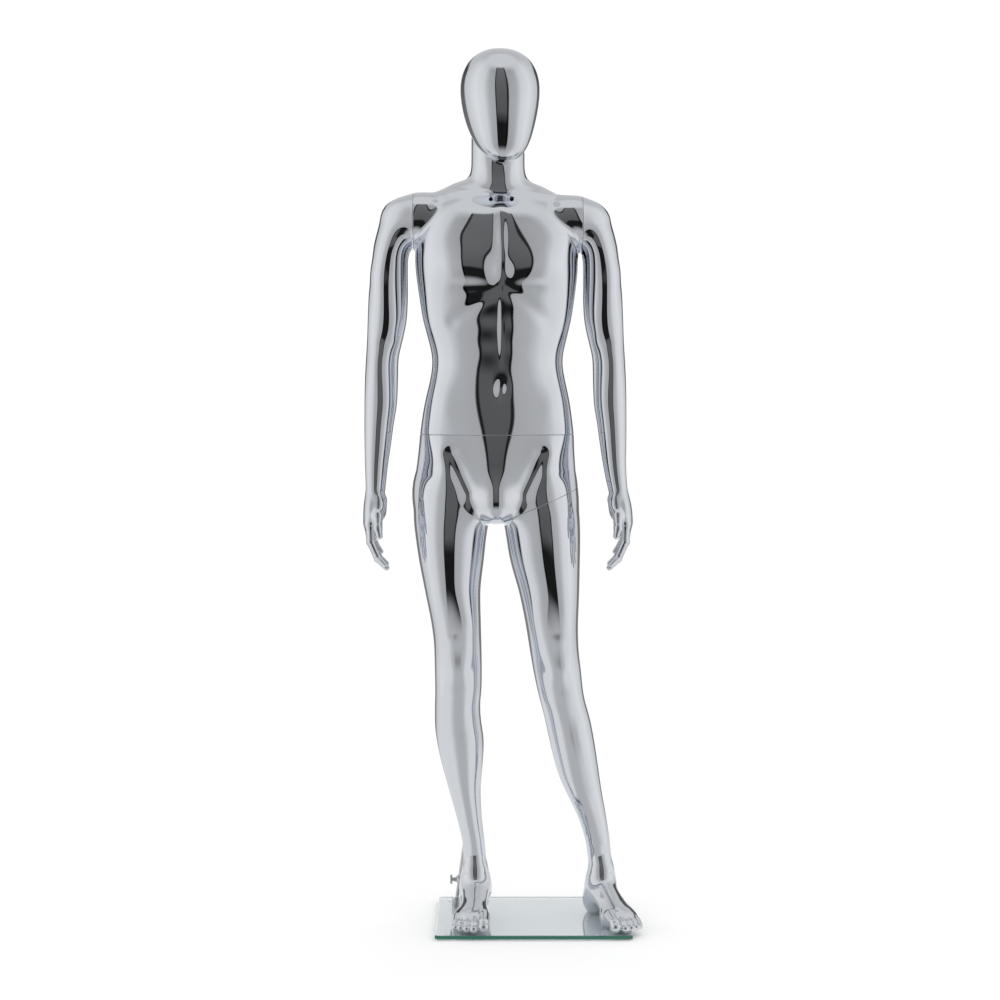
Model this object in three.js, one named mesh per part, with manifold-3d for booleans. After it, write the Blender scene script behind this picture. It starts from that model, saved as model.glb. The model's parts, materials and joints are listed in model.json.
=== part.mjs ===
// Full body display mannequin: hollow chrome-plated shells on a glass base.
// Millimetres, +Z up. The figure faces -Y; its right side is at -X. The origin is
// on the floor, under the middle of the object.
import * as THREE from 'three';
import { mergeVertices } from 'three/addons/utils/BufferGeometryUtils.js';
import Module from 'manifold-3d';

const wasm = await Module();
wasm.setup();

// ---- driving dimensions ---------------------------------------------------------
const GAP = 0.3; // clearance between pieces that touch
const WALL = 4; // shell thickness
const BODY_X = -4.3; // middle of the trunk
const GLASS = { x0: -137, x1: 279, y0: -175, y1: 175, thick: 8, z0: 3 };
const GLASS_TOP = GLASS.z0 + GLASS.thick;
const SOLE = GLASS_TOP + GAP; // underside of the feet
const WAIST_Z = 1059.5; // flat seam between torso and lower body
const SHOULDER = 180; // seam distance from the middle of the trunk
const NECK = { y: 8, r: 57, top: 1738 };
const HEAD = { low: 1633, high: 1884, yaw: 9 }; // egg head, face turned 9 degrees
const THIGH_CUT = { x: 13, z: 878, slope: 23.3 }; // slanting seam of the loose leg
const CROTCH_X = 8; // the loose leg starts this side of the crotch
const ARM_SHIFT = 5.5; // right arm hangs this much wider, left arm narrower
const HOLLOW_END = { arm: 960, leg: 115 }; // the shells are solid below these heights
const NECK_HOLES = { x: [-20.6, 23.8], z: 1560, r: 4 }; // two small holes at the root of the neck
const PLATE = { back: 1, thick: 6 }; // a seam plate: its distance from the seam and thickness
const STUD = { shank: 8, head: 15, headThick: 4, slot: 8.6, mouth: 16, mouthAway: 30 };
const SHOULDER_AT = { y: -1, z: 1512, r: 62 }; // shoulder stud and the rim of its plates
const WAIST_Y = -8; // waist stud
const THIGH_AT = { x: 92, y: -14 }; // thigh stud
const ANKLES = { right: [-54, 18], left: [217, 16] };
const TOE_OUT = { right: 2, left: 17 };
const ROD = { foot: [-98, 90, GLASS_TOP], top: [-56, 34, 318], r: 4, clampZ: 73, socketZ: 230 };
const COLLAR = { r: 8.5, high: 18, washer: 1.5, screw: 3 };
const BUMPER = { r: 8, in: 28 };

// ---- outlines of the figure, from side seams and profile --------------------------
// trunk: height, middle x, half width, front y, back y
const TORSO = [
  [1035, -7, 166, -108, 98], [WAIST_Z, -6.5, 165, -108, 92], [1091, -6.5, 160, -109, 82],
  [1127, -6.5, 153.5, -107, 74], [1167, -6.5, 145, -105, 68], [1217, -7, 139.5, -106, 68],
  [1258, -7, 147, -111, 74], [1312, -7.8, 159.5, -118, 86], [1364, -7.6, 166.5, -128, 96],
  [1403, -8, 171, -133, 102], [1438, -8.4, 173.5, -132, 104], [1470, -6, 177, -125, 104],
  [1502, -5, 187, -112, 102], [1535, -6, 188, -94, 96], [1556, -10, 186, -74, 88],
  [1566, -16, 180, -64, 84], [1576, -20, 160, -58, 81], [1586, -16, 120, -55, 78],
  [1597, -14, 96, -53, 75], [1609, -11, 76, -51, 70], [1622, -7, 63, -50, 66.5],
  [1638, -4.3, NECK.r, -49, 65], [NECK.top, -4.3, NECK.r, -49, 65],
];
const PELVIS = [
  [1084, -6.5, 161, -108, 84], [WAIST_Z, -6.5, 165, -108, 92], [1030, -7.5, 167.5, -106, 101],
  [990, -8.6, 171, -104, 113], [941, -10.8, 176.5, -103, 117], [912, -9, 177, -101, 108],
  [893, -8, 160, -97, 96], [880, -8, 110, -84, 74], [873, -8, 50, -50, 40],
];
// legs: height, outer x, inner x, front y, back y
const RIGHT_LEG = [
  [965, -180, -24, -90, 96], [920, -186, -20, -100, 100], [878, -185.8, -23, -104, 88],
  [840, -181.5, -29, -104, 76], [796, -175, -33.5, -102, 70], [714, -158.8, -42, -95, 60],
  [651, -147, -41, -86, 54], [600, -142, -39.5, -74, 51], [548, -141.5, -38.9, -65, 50],
  [507, -140.4, -39.5, -58, 54], [472, -141.5, -44, -49, 62], [429, -141.7, -40, -42, 71],
  [394, -138.2, -34.8, -38, 75], [350, -129, -36.5, -33, 71], [284, -111.2, -42, -26, 59],
  [226, -95, -39.5, -18, 49], [159, -81, -31.3, -14, 49], [103, -81.5, -26.5, -22, 57],
  [60, -84, -26, -28, 58],
];
const LEFT_LEG = [
  [965, 14, 160, -90, 96], [920, 8, 167, -100, 100], [878, 7.5, 171.9, -104, 88],
  [840, 13, 172.6, -104, 76], [796, 19.8, 171.9, -102, 70], [714, 42, 169.8, -95, 60],
  [651, 55, 167.8, -86, 54], [600, 63, 169.3, -74, 51], [550, 71.5, 175, -65, 50],
  [494, 83.2, 181.4, -56, 56], [440, 97.2, 196, -44, 69], [379, 110.2, 207.4, -38, 74],
  [312, 129, 217, -30, 65], [273, 147, 223, -25, 57], [230, 168, 231, -18, 49],
  [174, 185.8, 239.8, -14, 49], [148, 189.5, 243.5, -15, 50], [103, 194, 250, -22, 56],
  [60, 196, 254, -26, 56],
];
// arm: height, inner and outer distance from the middle of the trunk, front y, back y
const ARM = [
  [1568, 150, 186, -20, 18], [1563, 128, 204, -38, 36], [1553, 120, 222, -51, 50],
  [1540, 118, 238, -58, 58], [1515, 118, 249, -65, 65], [1495, 124, 256, -67, 67],
  [1474, 168, 260, -65, 64], [1458, 183, 262, -60, 60], [1438, 187, 264, -55, 56],
  [1403, 187.5, 270.5, -48, 51], [1364, 187.5, 272, -43, 51], [1312, 189.5, 274.5, -37, 52],
  [1258, 200, 276.5, -31, 53], [1217, 209, 279, -33, 51], [1170, 209.5, 281, -38, 45],
  [1127, 211, 281.5, -42, 35], [1083, 218, 281.5, -44, 27], [1040, 223.5, 281, -46, 17],
  [997, 230, 280, -47, 8], [954, 236, 280.5, -48, 4], [925, 239, 284, -53, 6],
  [895, 246, 289, -62, 9], [868, 254, 290, -67, 11], [852, 259, 288, -65, 10],
  [843, 266, 281, -58, 2],
];
// fingers: points as [side, y, z], radius at each
const FINGERS = [
  { at: [[272, -54, 866], [270, -60, 832], [257, -60, 802], [241, -56, 784]], r: [10, 9, 8, 6] },
  { at: [[274, -34, 864], [272, -37, 830], [257, -37, 793], [239, -35, 775]], r: [10, 9.3, 8, 6] },
  { at: [[275, -14, 864], [272, -13, 832], [258, -12, 798], [241, -12, 782]], r: [10, 9, 8, 6] },
  { at: [[273, 4, 870], [271, 8, 844], [260, 10, 822], [246, 10, 806]], r: [8.5, 7.6, 6.8, 5] },
  { at: [[250, -40, 918], [255, -64, 888], [254, -79, 862], [250, -83, 844]], r: [14, 11, 9, 6.8] },
];
// egg head about the neck pin: height, half width, front y, back y
const HEAD_RINGS = [
  [HEAD.low + 1.5, 10, -104, -84], [1640, 26, -112, -60], [1652, 40, -119, -32],
  [1671, 53.5, -123, 10], [1701, 66, -126, 52], [1724, 73, -127, 71], [1757, 80, -127, 83],
  [1790, 83, -122, 89], [1815, 81.5, -114, 88], [1843, 70.5, -97, 76], [1862, 54, -74, 59],
  [1875, 36, -50, 41], [HEAD.high - 2, 16, -24, 17],
];
// foot: distance from the heel, half width, height of the top, sideways shift
const FOOT = [
  [2, 14, 52, 0], [10, 25, 72, 0], [30, 30.5, 96, 0], [56, 31, 114, 0], [84, 30, 104, 0],
  [120, 32, 82, 0.5], [156, 36, 64, 1.5], [184, 39, 52, 2.5], [204, 38.5, 44, 2.5],
  [216, 34, 36, 1],
];
// toes from the big one: sideways place, root and tip distance from the heel, radius
const TOES = [
  [-25.5, 194, 242, 13.4], [-5, 198, 243, 10.4], [10.5, 196, 239, 9.8], [24, 192, 231, 9.2],
  [35, 186, 220, 8.6],
];

// ---- general shapes ----------------------------------------------------------------
const deg = THREE.MathUtils.degToRad;

// a smooth value between the stations of a table, by height
function between(stations, column, z) {
  const rows = stations[0][0] < stations.at(-1)[0] ? stations : [...stations].reverse();
  let i = 0;
  while (i < rows.length - 2 && z > rows[i + 1][0]) i += 1;
  const slope = (k) => {
    if (k <= 0 || k >= rows.length - 1) return 0;
    const before = (rows[k][column] - rows[k - 1][column]) / (rows[k][0] - rows[k - 1][0]);
    const after = (rows[k + 1][column] - rows[k][column]) / (rows[k + 1][0] - rows[k][0]);
    return before * after <= 0 ? 0 : (2 * before * after) / (before + after);
  };
  const span = rows[i + 1][0] - rows[i][0];
  const t = THREE.MathUtils.clamp((z - rows[i][0]) / span, 0, 1);
  const h = [2 * t ** 3 - 3 * t ** 2 + 1, t ** 3 - 2 * t ** 2 + t];
  h.push(1 - h[0], t ** 3 - t ** 2);
  return h[0] * rows[i][column] + h[1] * span * slope(i)
    + h[2] * rows[i + 1][column] + h[3] * span * slope(i + 1);
}

// an oval ring, slightly squarer than an ellipse when power is above 2
function oval(xc, yc, halfX, halfY, z, sides, power = 2) {
  return Array.from({ length: sides }, (_, k) => {
    const a = (2 * Math.PI * k) / sides;
    const round = (v) => Math.sign(v) * Math.abs(v) ** (2 / power);
    return new THREE.Vector3(xc + halfX * round(Math.cos(a)), yc + halfY * round(Math.sin(a)), z);
  });
}

// a closed skin over a stack of rings, with a flat fan at each end
function skin(rings) {
  const sides = rings[0].length;
  const points = rings.flat();
  const index = [];
  for (let r = 0; r < rings.length - 1; r += 1) {
    for (let k = 0; k < sides; k += 1) {
      const a = r * sides + k;
      const b = r * sides + ((k + 1) % sides);
      index.push(a, b, b + sides, a, b + sides, a + sides);
    }
  }
  for (const [ring, last] of [[0, false], [rings.length - 1, true]]) {
    const hub = points.length;
    const mid = rings[ring].reduce((sum, p) => sum.add(p), new THREE.Vector3());
    points.push(mid.divideScalar(sides));
    for (let k = 0; k < sides; k += 1) {
      const a = ring * sides + k;
      const b = ring * sides + ((k + 1) % sides);
      index.push(...(last ? [a, b, hub] : [b, a, hub]));
    }
  }
  const geometry = new THREE.BufferGeometry().setFromPoints(points);
  geometry.setIndex(index);
  return geometry;
}

// the same skin moved inwards by a distance, for hollows
function inset(geometry, distance) {
  const inner = geometry.clone();
  inner.computeVertexNormals();
  const { position, normal } = inner.attributes;
  for (let i = 0; i < position.count; i += 1) {
    position.setXYZ(
      i,
      position.getX(i) - distance * normal.getX(i),
      position.getY(i) - distance * normal.getY(i),
      position.getZ(i) - distance * normal.getZ(i),
    );
  }
  return inner;
}

function solid(geometry) {
  const bare = geometry.clone();
  bare.deleteAttribute('normal');
  bare.deleteAttribute('uv');
  const merged = mergeVertices(bare, 1e-4);
  const made = new wasm.Manifold(new wasm.Mesh({
    numProp: 3,
    vertProperties: new Float32Array(merged.attributes.position.array),
    triVerts: new Uint32Array(merged.index.array),
  }));
  return made.volume() < 0 ? new wasm.Manifold(made.mirror([1, 0, 0]).getMesh()) : made;
}

function surface(manifold) {
  const mesh = manifold.getMesh();
  const geometry = new THREE.BufferGeometry();
  geometry.setAttribute('position', new THREE.BufferAttribute(mesh.vertProperties, 3));
  geometry.setIndex(new THREE.BufferAttribute(mesh.triVerts, 1));
  return geometry;
}

const join = (...solids) => solids.reduce((all, one) => all.add(one));

// a round bar between two points
function bar(from, to, radius, sides = 20) {
  const a = new THREE.Vector3(...from);
  const b = new THREE.Vector3(...to);
  const geometry = new THREE.CylinderGeometry(radius, radius, a.distanceTo(b), sides);
  const turn = new THREE.Quaternion().setFromUnitVectors(
    new THREE.Vector3(0, 1, 0),
    b.clone().sub(a).normalize(),
  );
  geometry.applyQuaternion(turn);
  geometry.translate(...a.add(b).multiplyScalar(0.5).toArray());
  return solid(geometry);
}

function block(x0, x1, y0, y1, z0, z1) {
  const geometry = new THREE.BoxGeometry(x1 - x0, y1 - y0, z1 - z0);
  geometry.translate((x0 + x1) / 2, (y0 + y1) / 2, (z0 + z1) / 2);
  return solid(geometry);
}

// rings square to a path, with a rounded tip at its far end
function digit(points, radii, sides = 7) {
  const curve = new THREE.CatmullRomCurve3(points.map((p) => new THREE.Vector3(...p)));
  const steps = 4;
  const rings = [];
  const tip = radii.at(-1);
  for (let i = 0; i <= steps; i += 1) {
    const t = i / steps;
    const along = t * (radii.length - 1);
    const low = Math.min(Math.floor(along), radii.length - 2);
    rings.push([curve.getPointAt(t), THREE.MathUtils.lerp(radii[low], radii[low + 1], along - low)]);
  }
  const end = rings.at(-1)[0];
  const way = curve.getTangentAt(1);
  rings.push([end.clone().addScaledVector(way, tip * 0.7), tip * 0.7]);
  const side = new THREE.Vector3(0, 1, 0);
  return solid(skin(rings.map(([mid, r], i) => {
    const dir = i < steps ? curve.getTangentAt(i / steps) : way;
    const u = side.clone().addScaledVector(dir, -side.dot(dir)).normalize();
    const v = new THREE.Vector3().crossVectors(dir, u);
    return Array.from({ length: sides }, (_, k) => {
      const a = (2 * Math.PI * k) / sides;
      return mid.clone().addScaledVector(u, r * Math.cos(a)).addScaledVector(v, r * Math.sin(a));
    });
  })));
}

// ---- skins of the figure ------------------------------------------------------------
function trunkSkin(table, heights, sides) {
  return skin(heights.map((z) => {
    const [xc, half, front, back] = [1, 2, 3, 4].map((c) => between(table, c, z));
    return oval(xc, (front + back) / 2, half, (back - front) / 2, z, sides, z > 1600 ? 2 : 2.25);
  }));
}

function limbSkin(table, heights, sides, place = (edge) => edge) {
  return skin(heights.map((z) => {
    const [outer, inner, front, back] = [1, 2, 3, 4].map((c) => between(table, c, z));
    const [x0, x1] = [place(outer, z), place(inner, z)];
    return oval((x0 + x1) / 2, (front + back) / 2, Math.abs(x1 - x0) / 2, (back - front) / 2, z, sides);
  }));
}

const levels = (table) => table.map((row) => row[0]).sort((a, b) => a - b);

function armEdge(side) {
  return (distance, z) => {
    const low = THREE.MathUtils.smoothstep(z, 870, 1010);
    const high = 1 - THREE.MathUtils.smoothstep(z, 1540, 1600);
    return BODY_X + side * distance - ARM_SHIFT * low * high;
  };
}

function headSkin() {
  const geometry = skin(HEAD_RINGS.map(([z, half, front, back]) => (
    oval(0, (front + back) / 2 - NECK.y, half, (back - front) / 2, z, 22))));
  geometry.rotateZ(deg(HEAD.yaw));
  geometry.translate(BODY_X, NECK.y, 0);
  return geometry;
}

// foot along +X from the heel, then turned to face the front
function footGeometry(ankle, toeOut, side) {
  const ring = ([u, half, top, shift]) => oval(0, 0, half, 1, 0, 12).map(({ x, y }) => {
    const middle = (top + SOLE) / 2;
    return new THREE.Vector3(u, x + side * shift, Math.max(SOLE, middle + y * (middle - SOLE) * 1.12));
  });
  const place = (geometry) => {
    geometry.translate(-FOOT[3][0], 0, 0);
    geometry.rotateZ(deg(-90 + side * toeOut));
    geometry.translate(ankle[0], ankle[1], 0);
    return geometry;
  };
  const base = place(skin(FOOT.map((row) => ring(row))));
  const toes = TOES.map(([across, root, tip, r]) => place(skin(
    [[root, r * 0.9], [root + 12, r], [tip - r, r], [tip - r * 0.3, r * 0.8], [tip, r * 0.35]].map(
      ([u, radius]) => oval(side * across, SOLE + r, radius, radius, 0, 6).map(({ x, y }) => (
        new THREE.Vector3(u, x, Math.max(SOLE, y)))),
    ),
  )));
  return join(solid(base), ...toes.map(solid));
}

// ---- whole figure, solid and hollow, before it is cut at the seams ---------------------
const torsoSkin = trunkSkin(TORSO, levels(TORSO), 22);
const pelvisSkin = trunkSkin(PELVIS, levels(PELVIS), 22);
const legSkins = {
  right: limbSkin(RIGHT_LEG, levels(RIGHT_LEG), 14),
  left: limbSkin(LEFT_LEG, levels(LEFT_LEG), 14),
};
const armSkins = {
  right: limbSkin(ARM, levels(ARM), 12, armEdge(-1)),
  left: limbSkin(ARM, levels(ARM), 12, armEdge(1)),
};
const SIDES = { right: -1, left: 1 };

function hand(side) {
  const edge = armEdge(side);
  return join(...FINGERS.map(({ at, r }) => digit(at.map(([s, y, z]) => [edge(s, z), y, z]), r)));
}

const upper = join(solid(torsoSkin), solid(armSkins.right), solid(armSkins.left));
const hollowUpper = (wall) => join(
  solid(inset(torsoSkin, wall)),
  ...['right', 'left'].map((s) => solid(inset(armSkins[s], wall)).trimByPlane([0, 0, 1], HOLLOW_END.arm)),
);
const hollowLower = (wall) => join(
  solid(inset(pelvisSkin, wall)),
  ...['right', 'left'].map((s) => solid(inset(legSkins[s], wall)).trimByPlane([0, 0, 1], HOLLOW_END.leg)),
);

// ---- seams as half spaces ----------------------------------------------------------------
const thighNormal = [-Math.sin(deg(THIGH_CUT.slope)), 0, Math.cos(deg(THIGH_CUT.slope))];
const thighOffset = thighNormal[0] * THIGH_CUT.x + thighNormal[2] * THIGH_CUT.z;
const flip = (v) => v.map((c) => -c);
const aboveThigh = (s, lift = 0) => s.trimByPlane(thighNormal, thighOffset + lift);
const belowThigh = (s, drop = 0) => s.trimByPlane(flip(thighNormal), -(thighOffset - drop));
const seamX = (side) => BODY_X + side * SHOULDER;
const outside = (s, side, out = 0) => s.trimByPlane([side, 0, 0], side * seamX(side) + out);
const inside = (s, side, back = 0) => s.trimByPlane([-side, 0, 0], -side * seamX(side) + back);
const aboveWaist = (s, lift = 0) => s.trimByPlane([0, 0, 1], WAIST_Z + lift);
const belowWaist = (s, drop = 0) => s.trimByPlane([0, 0, -1], -(WAIST_Z - drop));

// ---- seam fittings: a plate each side, a flanged stud through a keyhole, and its nut --------
// Each is drawn about a seam at the origin whose +Z points from the keyhole side to the stud
// side, and is then placed.
function placed(manifold, centre, direction) {
  const geometry = surface(manifold);
  geometry.applyQuaternion(new THREE.Quaternion().setFromUnitVectors(
    new THREE.Vector3(0, 0, 1),
    new THREE.Vector3(...direction).normalize(),
  ));
  geometry.translate(...centre);
  return solid(geometry);
}

function studParts() {
  const { shank, head, headThick } = STUD;
  const studSide = PLATE.thick + PLATE.back; // far face of the stud plate
  const keySide = -studSide; // far face of the keyhole plate
  const stud = join(
    bar([0, 0, keySide - GAP - headThick], [0, 0, keySide - GAP], head),
    bar([0, 0, keySide - GAP - 1], [0, 0, studSide + 12], shank),
    bar([0, 0, -0.7], [0, 0, 0.7], head - 3),
  );
  const nut = solid(new THREE.CylinderGeometry(15, 15, 8, 6).rotateX(Math.PI / 2)
    .translate(0, 0, studSide + GAP + 4)).subtract(bar([0, 0, 0], [0, 0, 40], shank + GAP));
  return { stud, nut };
}

// the keyhole: a round mouth that lets the stud's flange in, and a slot that holds its shank
const DEEP = 60; // cutters reach this far each way
function keyhole() {
  const { slot, mouth, mouthAway } = STUD;
  return join(
    bar([0, mouthAway, -DEEP], [0, mouthAway, DEEP], mouth),
    bar([0, 0, -DEEP], [0, 0, DEEP], slot),
    block(-slot, slot, 0, mouthAway, -DEEP, DEEP),
  );
}
const studHole = () => bar([0, 0, -DEEP], [0, 0, DEEP], STUD.shank + GAP);

const nodes = [];
function add(name, manifold, colour, roughness, metalness) {
  const material = new THREE.MeshStandardMaterial({ color: colour, roughness, metalness });
  const mesh = new THREE.Mesh(surface(manifold), material);
  mesh.name = name;
  nodes.push(mesh);
}
const chrome = [0xd6d9dd, 0.05, 1];
const steel = [0x8f9296, 0.35, 1];
const dark = [0x3a3c40, 0.6, 0];

// ---- upper body ---------------------------------------------------------------------------
const upperShell = upper.subtract(hollowUpper(WALL));
const pinHole = bar([BODY_X, NECK.y, NECK.top - 20], [BODY_X, NECK.y, NECK.top + 20], 8.4);
let torso = aboveWaist(inside(inside(upperShell, 1, GAP / 2), -1, GAP / 2), GAP / 2).subtract(pinHole);
for (const x of NECK_HOLES.x) {
  const front = [BODY_X + x, -90, NECK_HOLES.z];
  torso = torso.subtract(bar(front, [front[0], front[1] + 50, front[2]], NECK_HOLES.r, 12));
}
add('torso', torso, ...chrome);

const handSolid = { right: hand(-1), left: hand(1) };
for (const [name, side] of Object.entries(SIDES)) {
  const shell = outside(upperShell, side, GAP / 2);
  add(`${name}_arm`, join(shell, handSolid[name]), ...chrome);
}

// ---- head ----------------------------------------------------------------------------------
const headOuter = headSkin();
const neckRoom = bar([BODY_X, NECK.y, HEAD.low - 30], [BODY_X, NECK.y, NECK.top + 3], NECK.r + 0.6, 40);
add('head', solid(headOuter).subtract(solid(inset(headOuter, WALL))).subtract(neckRoom), ...chrome);
const pinAt = (z) => [BODY_X, NECK.y, z];
add('neck_pin', join(
  bar(pinAt(NECK.top - 22), pinAt(NECK.top + 34), 8),
  bar(pinAt(NECK.top + GAP), pinAt(NECK.top + 3), 18),
), ...steel);
add('neck_pin_nut', solid(new THREE.CylinderGeometry(15, 15, 8, 6).rotateX(Math.PI / 2)
  .translate(...pinAt(NECK.top - WALL - 4 - GAP - 0.3)))
  .subtract(bar(pinAt(NECK.top - 40), pinAt(NECK.top), 8 + GAP)), ...steel);
const headRoom = solid(inset(headOuter, WALL + GAP));
const socketPlate = headRoom.trimByPlane([0, 0, 1], NECK.top + 4)
  .trimByPlane([0, 0, -1], -(NECK.top + 11));
add('head_socket_plate', join(socketPlate, bar(pinAt(NECK.top + 4), pinAt(NECK.top + 26), 16))
  .subtract(bar(pinAt(NECK.top), pinAt(NECK.top + 60), 8 + GAP)), ...dark);

// ---- shoulders -------------------------------------------------------------------------------
const upperRoom = hollowUpper(WALL + GAP);
for (const [name, side] of Object.entries(SIDES)) {
  const centre = [seamX(side), SHOULDER_AT.y, SHOULDER_AT.z];
  const around = bar(
    [centre[0] - 40, centre[1], centre[2]],
    [centre[0] + 40, centre[1], centre[2]],
    SHOULDER_AT.r,
    40,
  );
  const room = upperRoom.intersect(around);
  const reach = PLATE.back + PLATE.thick;
  add(`${name}_shoulder_plate`, inside(room, side, PLATE.back)
    .trimByPlane([side, 0, 0], side * seamX(side) - reach)
    .subtract(placed(keyhole(), centre, [side, 0, 0])), ...steel);
  const { stud, nut } = studParts();
  add(`${name}_arm_plate`, outside(room, side, PLATE.back)
    .trimByPlane([-side, 0, 0], -side * seamX(side) - reach)
    .subtract(placed(studHole(), centre, [side, 0, 0])), ...steel);
  add(`${name}_arm_stud`, placed(stud, centre, [side, 0, 0]), ...steel);
  add(`${name}_arm_stud_nut`, placed(nut, centre, [side, 0, 0]), ...steel);
}

// ---- lower body and loose leg -----------------------------------------------------------------
const foot = (s) => footGeometry(ANKLES[s], TOE_OUT[s], SIDES[s]);
const pelvis = solid(pelvisSkin);
const whole = {
  right: join(solid(legSkins.right), foot('right')),
  left: join(solid(legSkins.left), foot('left')),
};
const legSpace = belowThigh(block(CROTCH_X, 400, -300, 300, 0, 1100));
const lowerHollow = hollowLower(WALL);
const lowerSolid = belowWaist(join(pelvis, whole.right, aboveThigh(whole.left)), GAP / 2);
const leftSolid = belowThigh(join(pelvis, whole.left), GAP).trimByPlane([1, 0, 0], CROTCH_X + GAP);

const rodPoint = (z) => {
  const t = (z - ROD.foot[2]) / (ROD.top[2] - ROD.foot[2]);
  return ROD.foot.map((c, i) => c + t * (ROD.top[i] - c));
};
const SOCKET_R = 8;
const socketSpace = bar(rodPoint(ROD.socketZ - 30), rodPoint(ROD.top[2] + 17), SOCKET_R + GAP);
add('lower_body', lowerSolid.subtract(lowerHollow).subtract(legSpace).subtract(socketSpace), ...chrome);
add('left_leg', leftSolid.subtract(lowerHollow), ...chrome);

const lowerRoom = hollowLower(WALL + GAP);
const waistAt = [BODY_X, WAIST_Y, WAIST_Z];
const up = [0, 0, 1];
const plateReach = PLATE.back + PLATE.thick;
const waist = studParts();
const trunkRoom = solid(inset(torsoSkin, WALL + GAP));
const upperWaist = aboveWaist(trunkRoom, PLATE.back)
  .trimByPlane([0, 0, -1], -(WAIST_Z + plateReach));
add('waist_upper_plate', upperWaist.subtract(placed(studHole(), waistAt, up)), ...dark);
const lowerWaist = belowWaist(lowerRoom, PLATE.back).trimByPlane(up, WAIST_Z - plateReach);
add('waist_lower_plate', lowerWaist.subtract(placed(keyhole(), waistAt, up)), ...dark);
add('waist_stud', placed(waist.stud, waistAt, up), ...steel);
add('waist_stud_nut', placed(waist.nut, waistAt, up), ...steel);

const thighRise = (THIGH_AT.x - THIGH_CUT.x) * Math.tan(deg(THIGH_CUT.slope));
const thighAt = [THIGH_AT.x, THIGH_AT.y, THIGH_CUT.z + thighRise];
const down = flip(thighNormal);
const thigh = studParts();
const legRoom = lowerRoom.trimByPlane([1, 0, 0], CROTCH_X + WALL + GAP);
const hipPlate = aboveThigh(legRoom, PLATE.back).intersect(belowThigh(legRoom, -plateReach));
add('hip_plate', hipPlate.subtract(placed(keyhole(), thighAt, down)), ...dark);
const legPlate = belowThigh(legRoom, PLATE.back + GAP).intersect(aboveThigh(legRoom, -plateReach));
add('leg_plate', legPlate.subtract(placed(studHole(), thighAt, down)), ...dark);
add('leg_stud', placed(thigh.stud, thighAt, down), ...steel);
add('leg_stud_nut', placed(thigh.nut, thighAt, down), ...steel);

// ---- base, rod and its fittings --------------------------------------------------------------
const upright = (z0, z1, r, sides) => (
  bar([ROD.foot[0], ROD.foot[1], z0], [ROD.foot[0], ROD.foot[1], z1], r, sides));
const boltHole = upright(-5, 40, COLLAR.screw + 1.5);
const plate = block(GLASS.x0, GLASS.x1, GLASS.y0, GLASS.y1, GLASS.z0, GLASS_TOP);
add('glass_base', plate.subtract(boltHole), 0xbfd8d2, 0.05, 0);
const washerTop = GLASS_TOP + COLLAR.washer;
add('collar_washer', upright(GLASS_TOP + GAP, washerTop, COLLAR.r + 0.5).subtract(boltHole), ...dark);
const rodEnd = GLASS_TOP + 8; // the collar is bored down to here for the rod
const rodSpace = bar(rodPoint(rodEnd), rodPoint(ROD.top[2] + 22), ROD.r + GAP);
const screwTop = GLASS_TOP + 6;
const collar = upright(washerTop + GAP, GLASS_TOP + COLLAR.high, COLLAR.r, 28);
add('base_collar', collar.subtract(rodSpace)
  .subtract(upright(0, screwTop + GAP, COLLAR.screw + GAP)), ...steel);
add('base_bolt', join(
  upright(0.6, GLASS.z0 - GAP, 8, 20),
  upright(0.6, screwTop, COLLAR.screw),
), ...steel);
add('support_rod', bar(rodPoint(rodEnd + GAP), rodPoint(ROD.top[2]), ROD.r, 16), ...steel);
const socket = bar(rodPoint(ROD.socketZ), rodPoint(ROD.top[2] + 14), SOCKET_R, 20);
const socketBore = bar(rodPoint(ROD.socketZ - 80), rodPoint(ROD.top[2] + 3), ROD.r + GAP, 20);
add('calf_socket', socket.subtract(socketBore), ...steel);

// the ring on the rod, with a boss on its outer side, and the thumb screw in the boss
const clampAt = rodPoint(ROD.clampZ);
const outwards = (distance) => [clampAt[0] - distance, clampAt[1], clampAt[2]];
const clamp = join(
  bar(rodPoint(ROD.clampZ - 6), rodPoint(ROD.clampZ + 6), 8, 20),
  bar(clampAt, outwards(12), 5, 16),
);
add('rod_clamp', clamp.subtract(rodSpace).subtract(bar(clampAt, outwards(30), 2.8, 16)), ...steel);
const WING = { from: 16, to: 20.5, half: 1.6, high: 10 };
const wing = join(
  bar(outwards(ROD.r + 2 * GAP), outwards(17), 2.5, 12),
  bar(outwards(13), outwards(19), 4.5, 16),
  block(
    clampAt[0] - WING.to,
    clampAt[0] - WING.from,
    clampAt[1] - WING.half,
    clampAt[1] + WING.half,
    clampAt[2] - WING.high,
    clampAt[2] + WING.high,
  ),
);
add('wing_screw', wing, ...steel);
let bumper = 0;
for (const x of [GLASS.x0 + BUMPER.in, GLASS.x1 - BUMPER.in]) {
  for (const y of [GLASS.y0 + BUMPER.in, GLASS.y1 - BUMPER.in]) {
    bumper += 1;
    add(`bumper_${bumper}`, bar([x, y, 0], [x, y, GLASS.z0 - GAP], BUMPER.r, 20), 0xe4e6e6, 0.4, 0);
  }
}

const mannequin = new THREE.Group();
mannequin.add(...nodes);
export default mannequin;
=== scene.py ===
# Full body display mannequin: mirror plated shells on a glass base.
# The figure is one smooth surface, given as a field that is 0 on the skin and grows
# outwards. It is meshed finely, projected onto the field and cut at the CAD seams.
# The field works in millimetres, and the meshes are written in metres.
import json
import math

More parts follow.
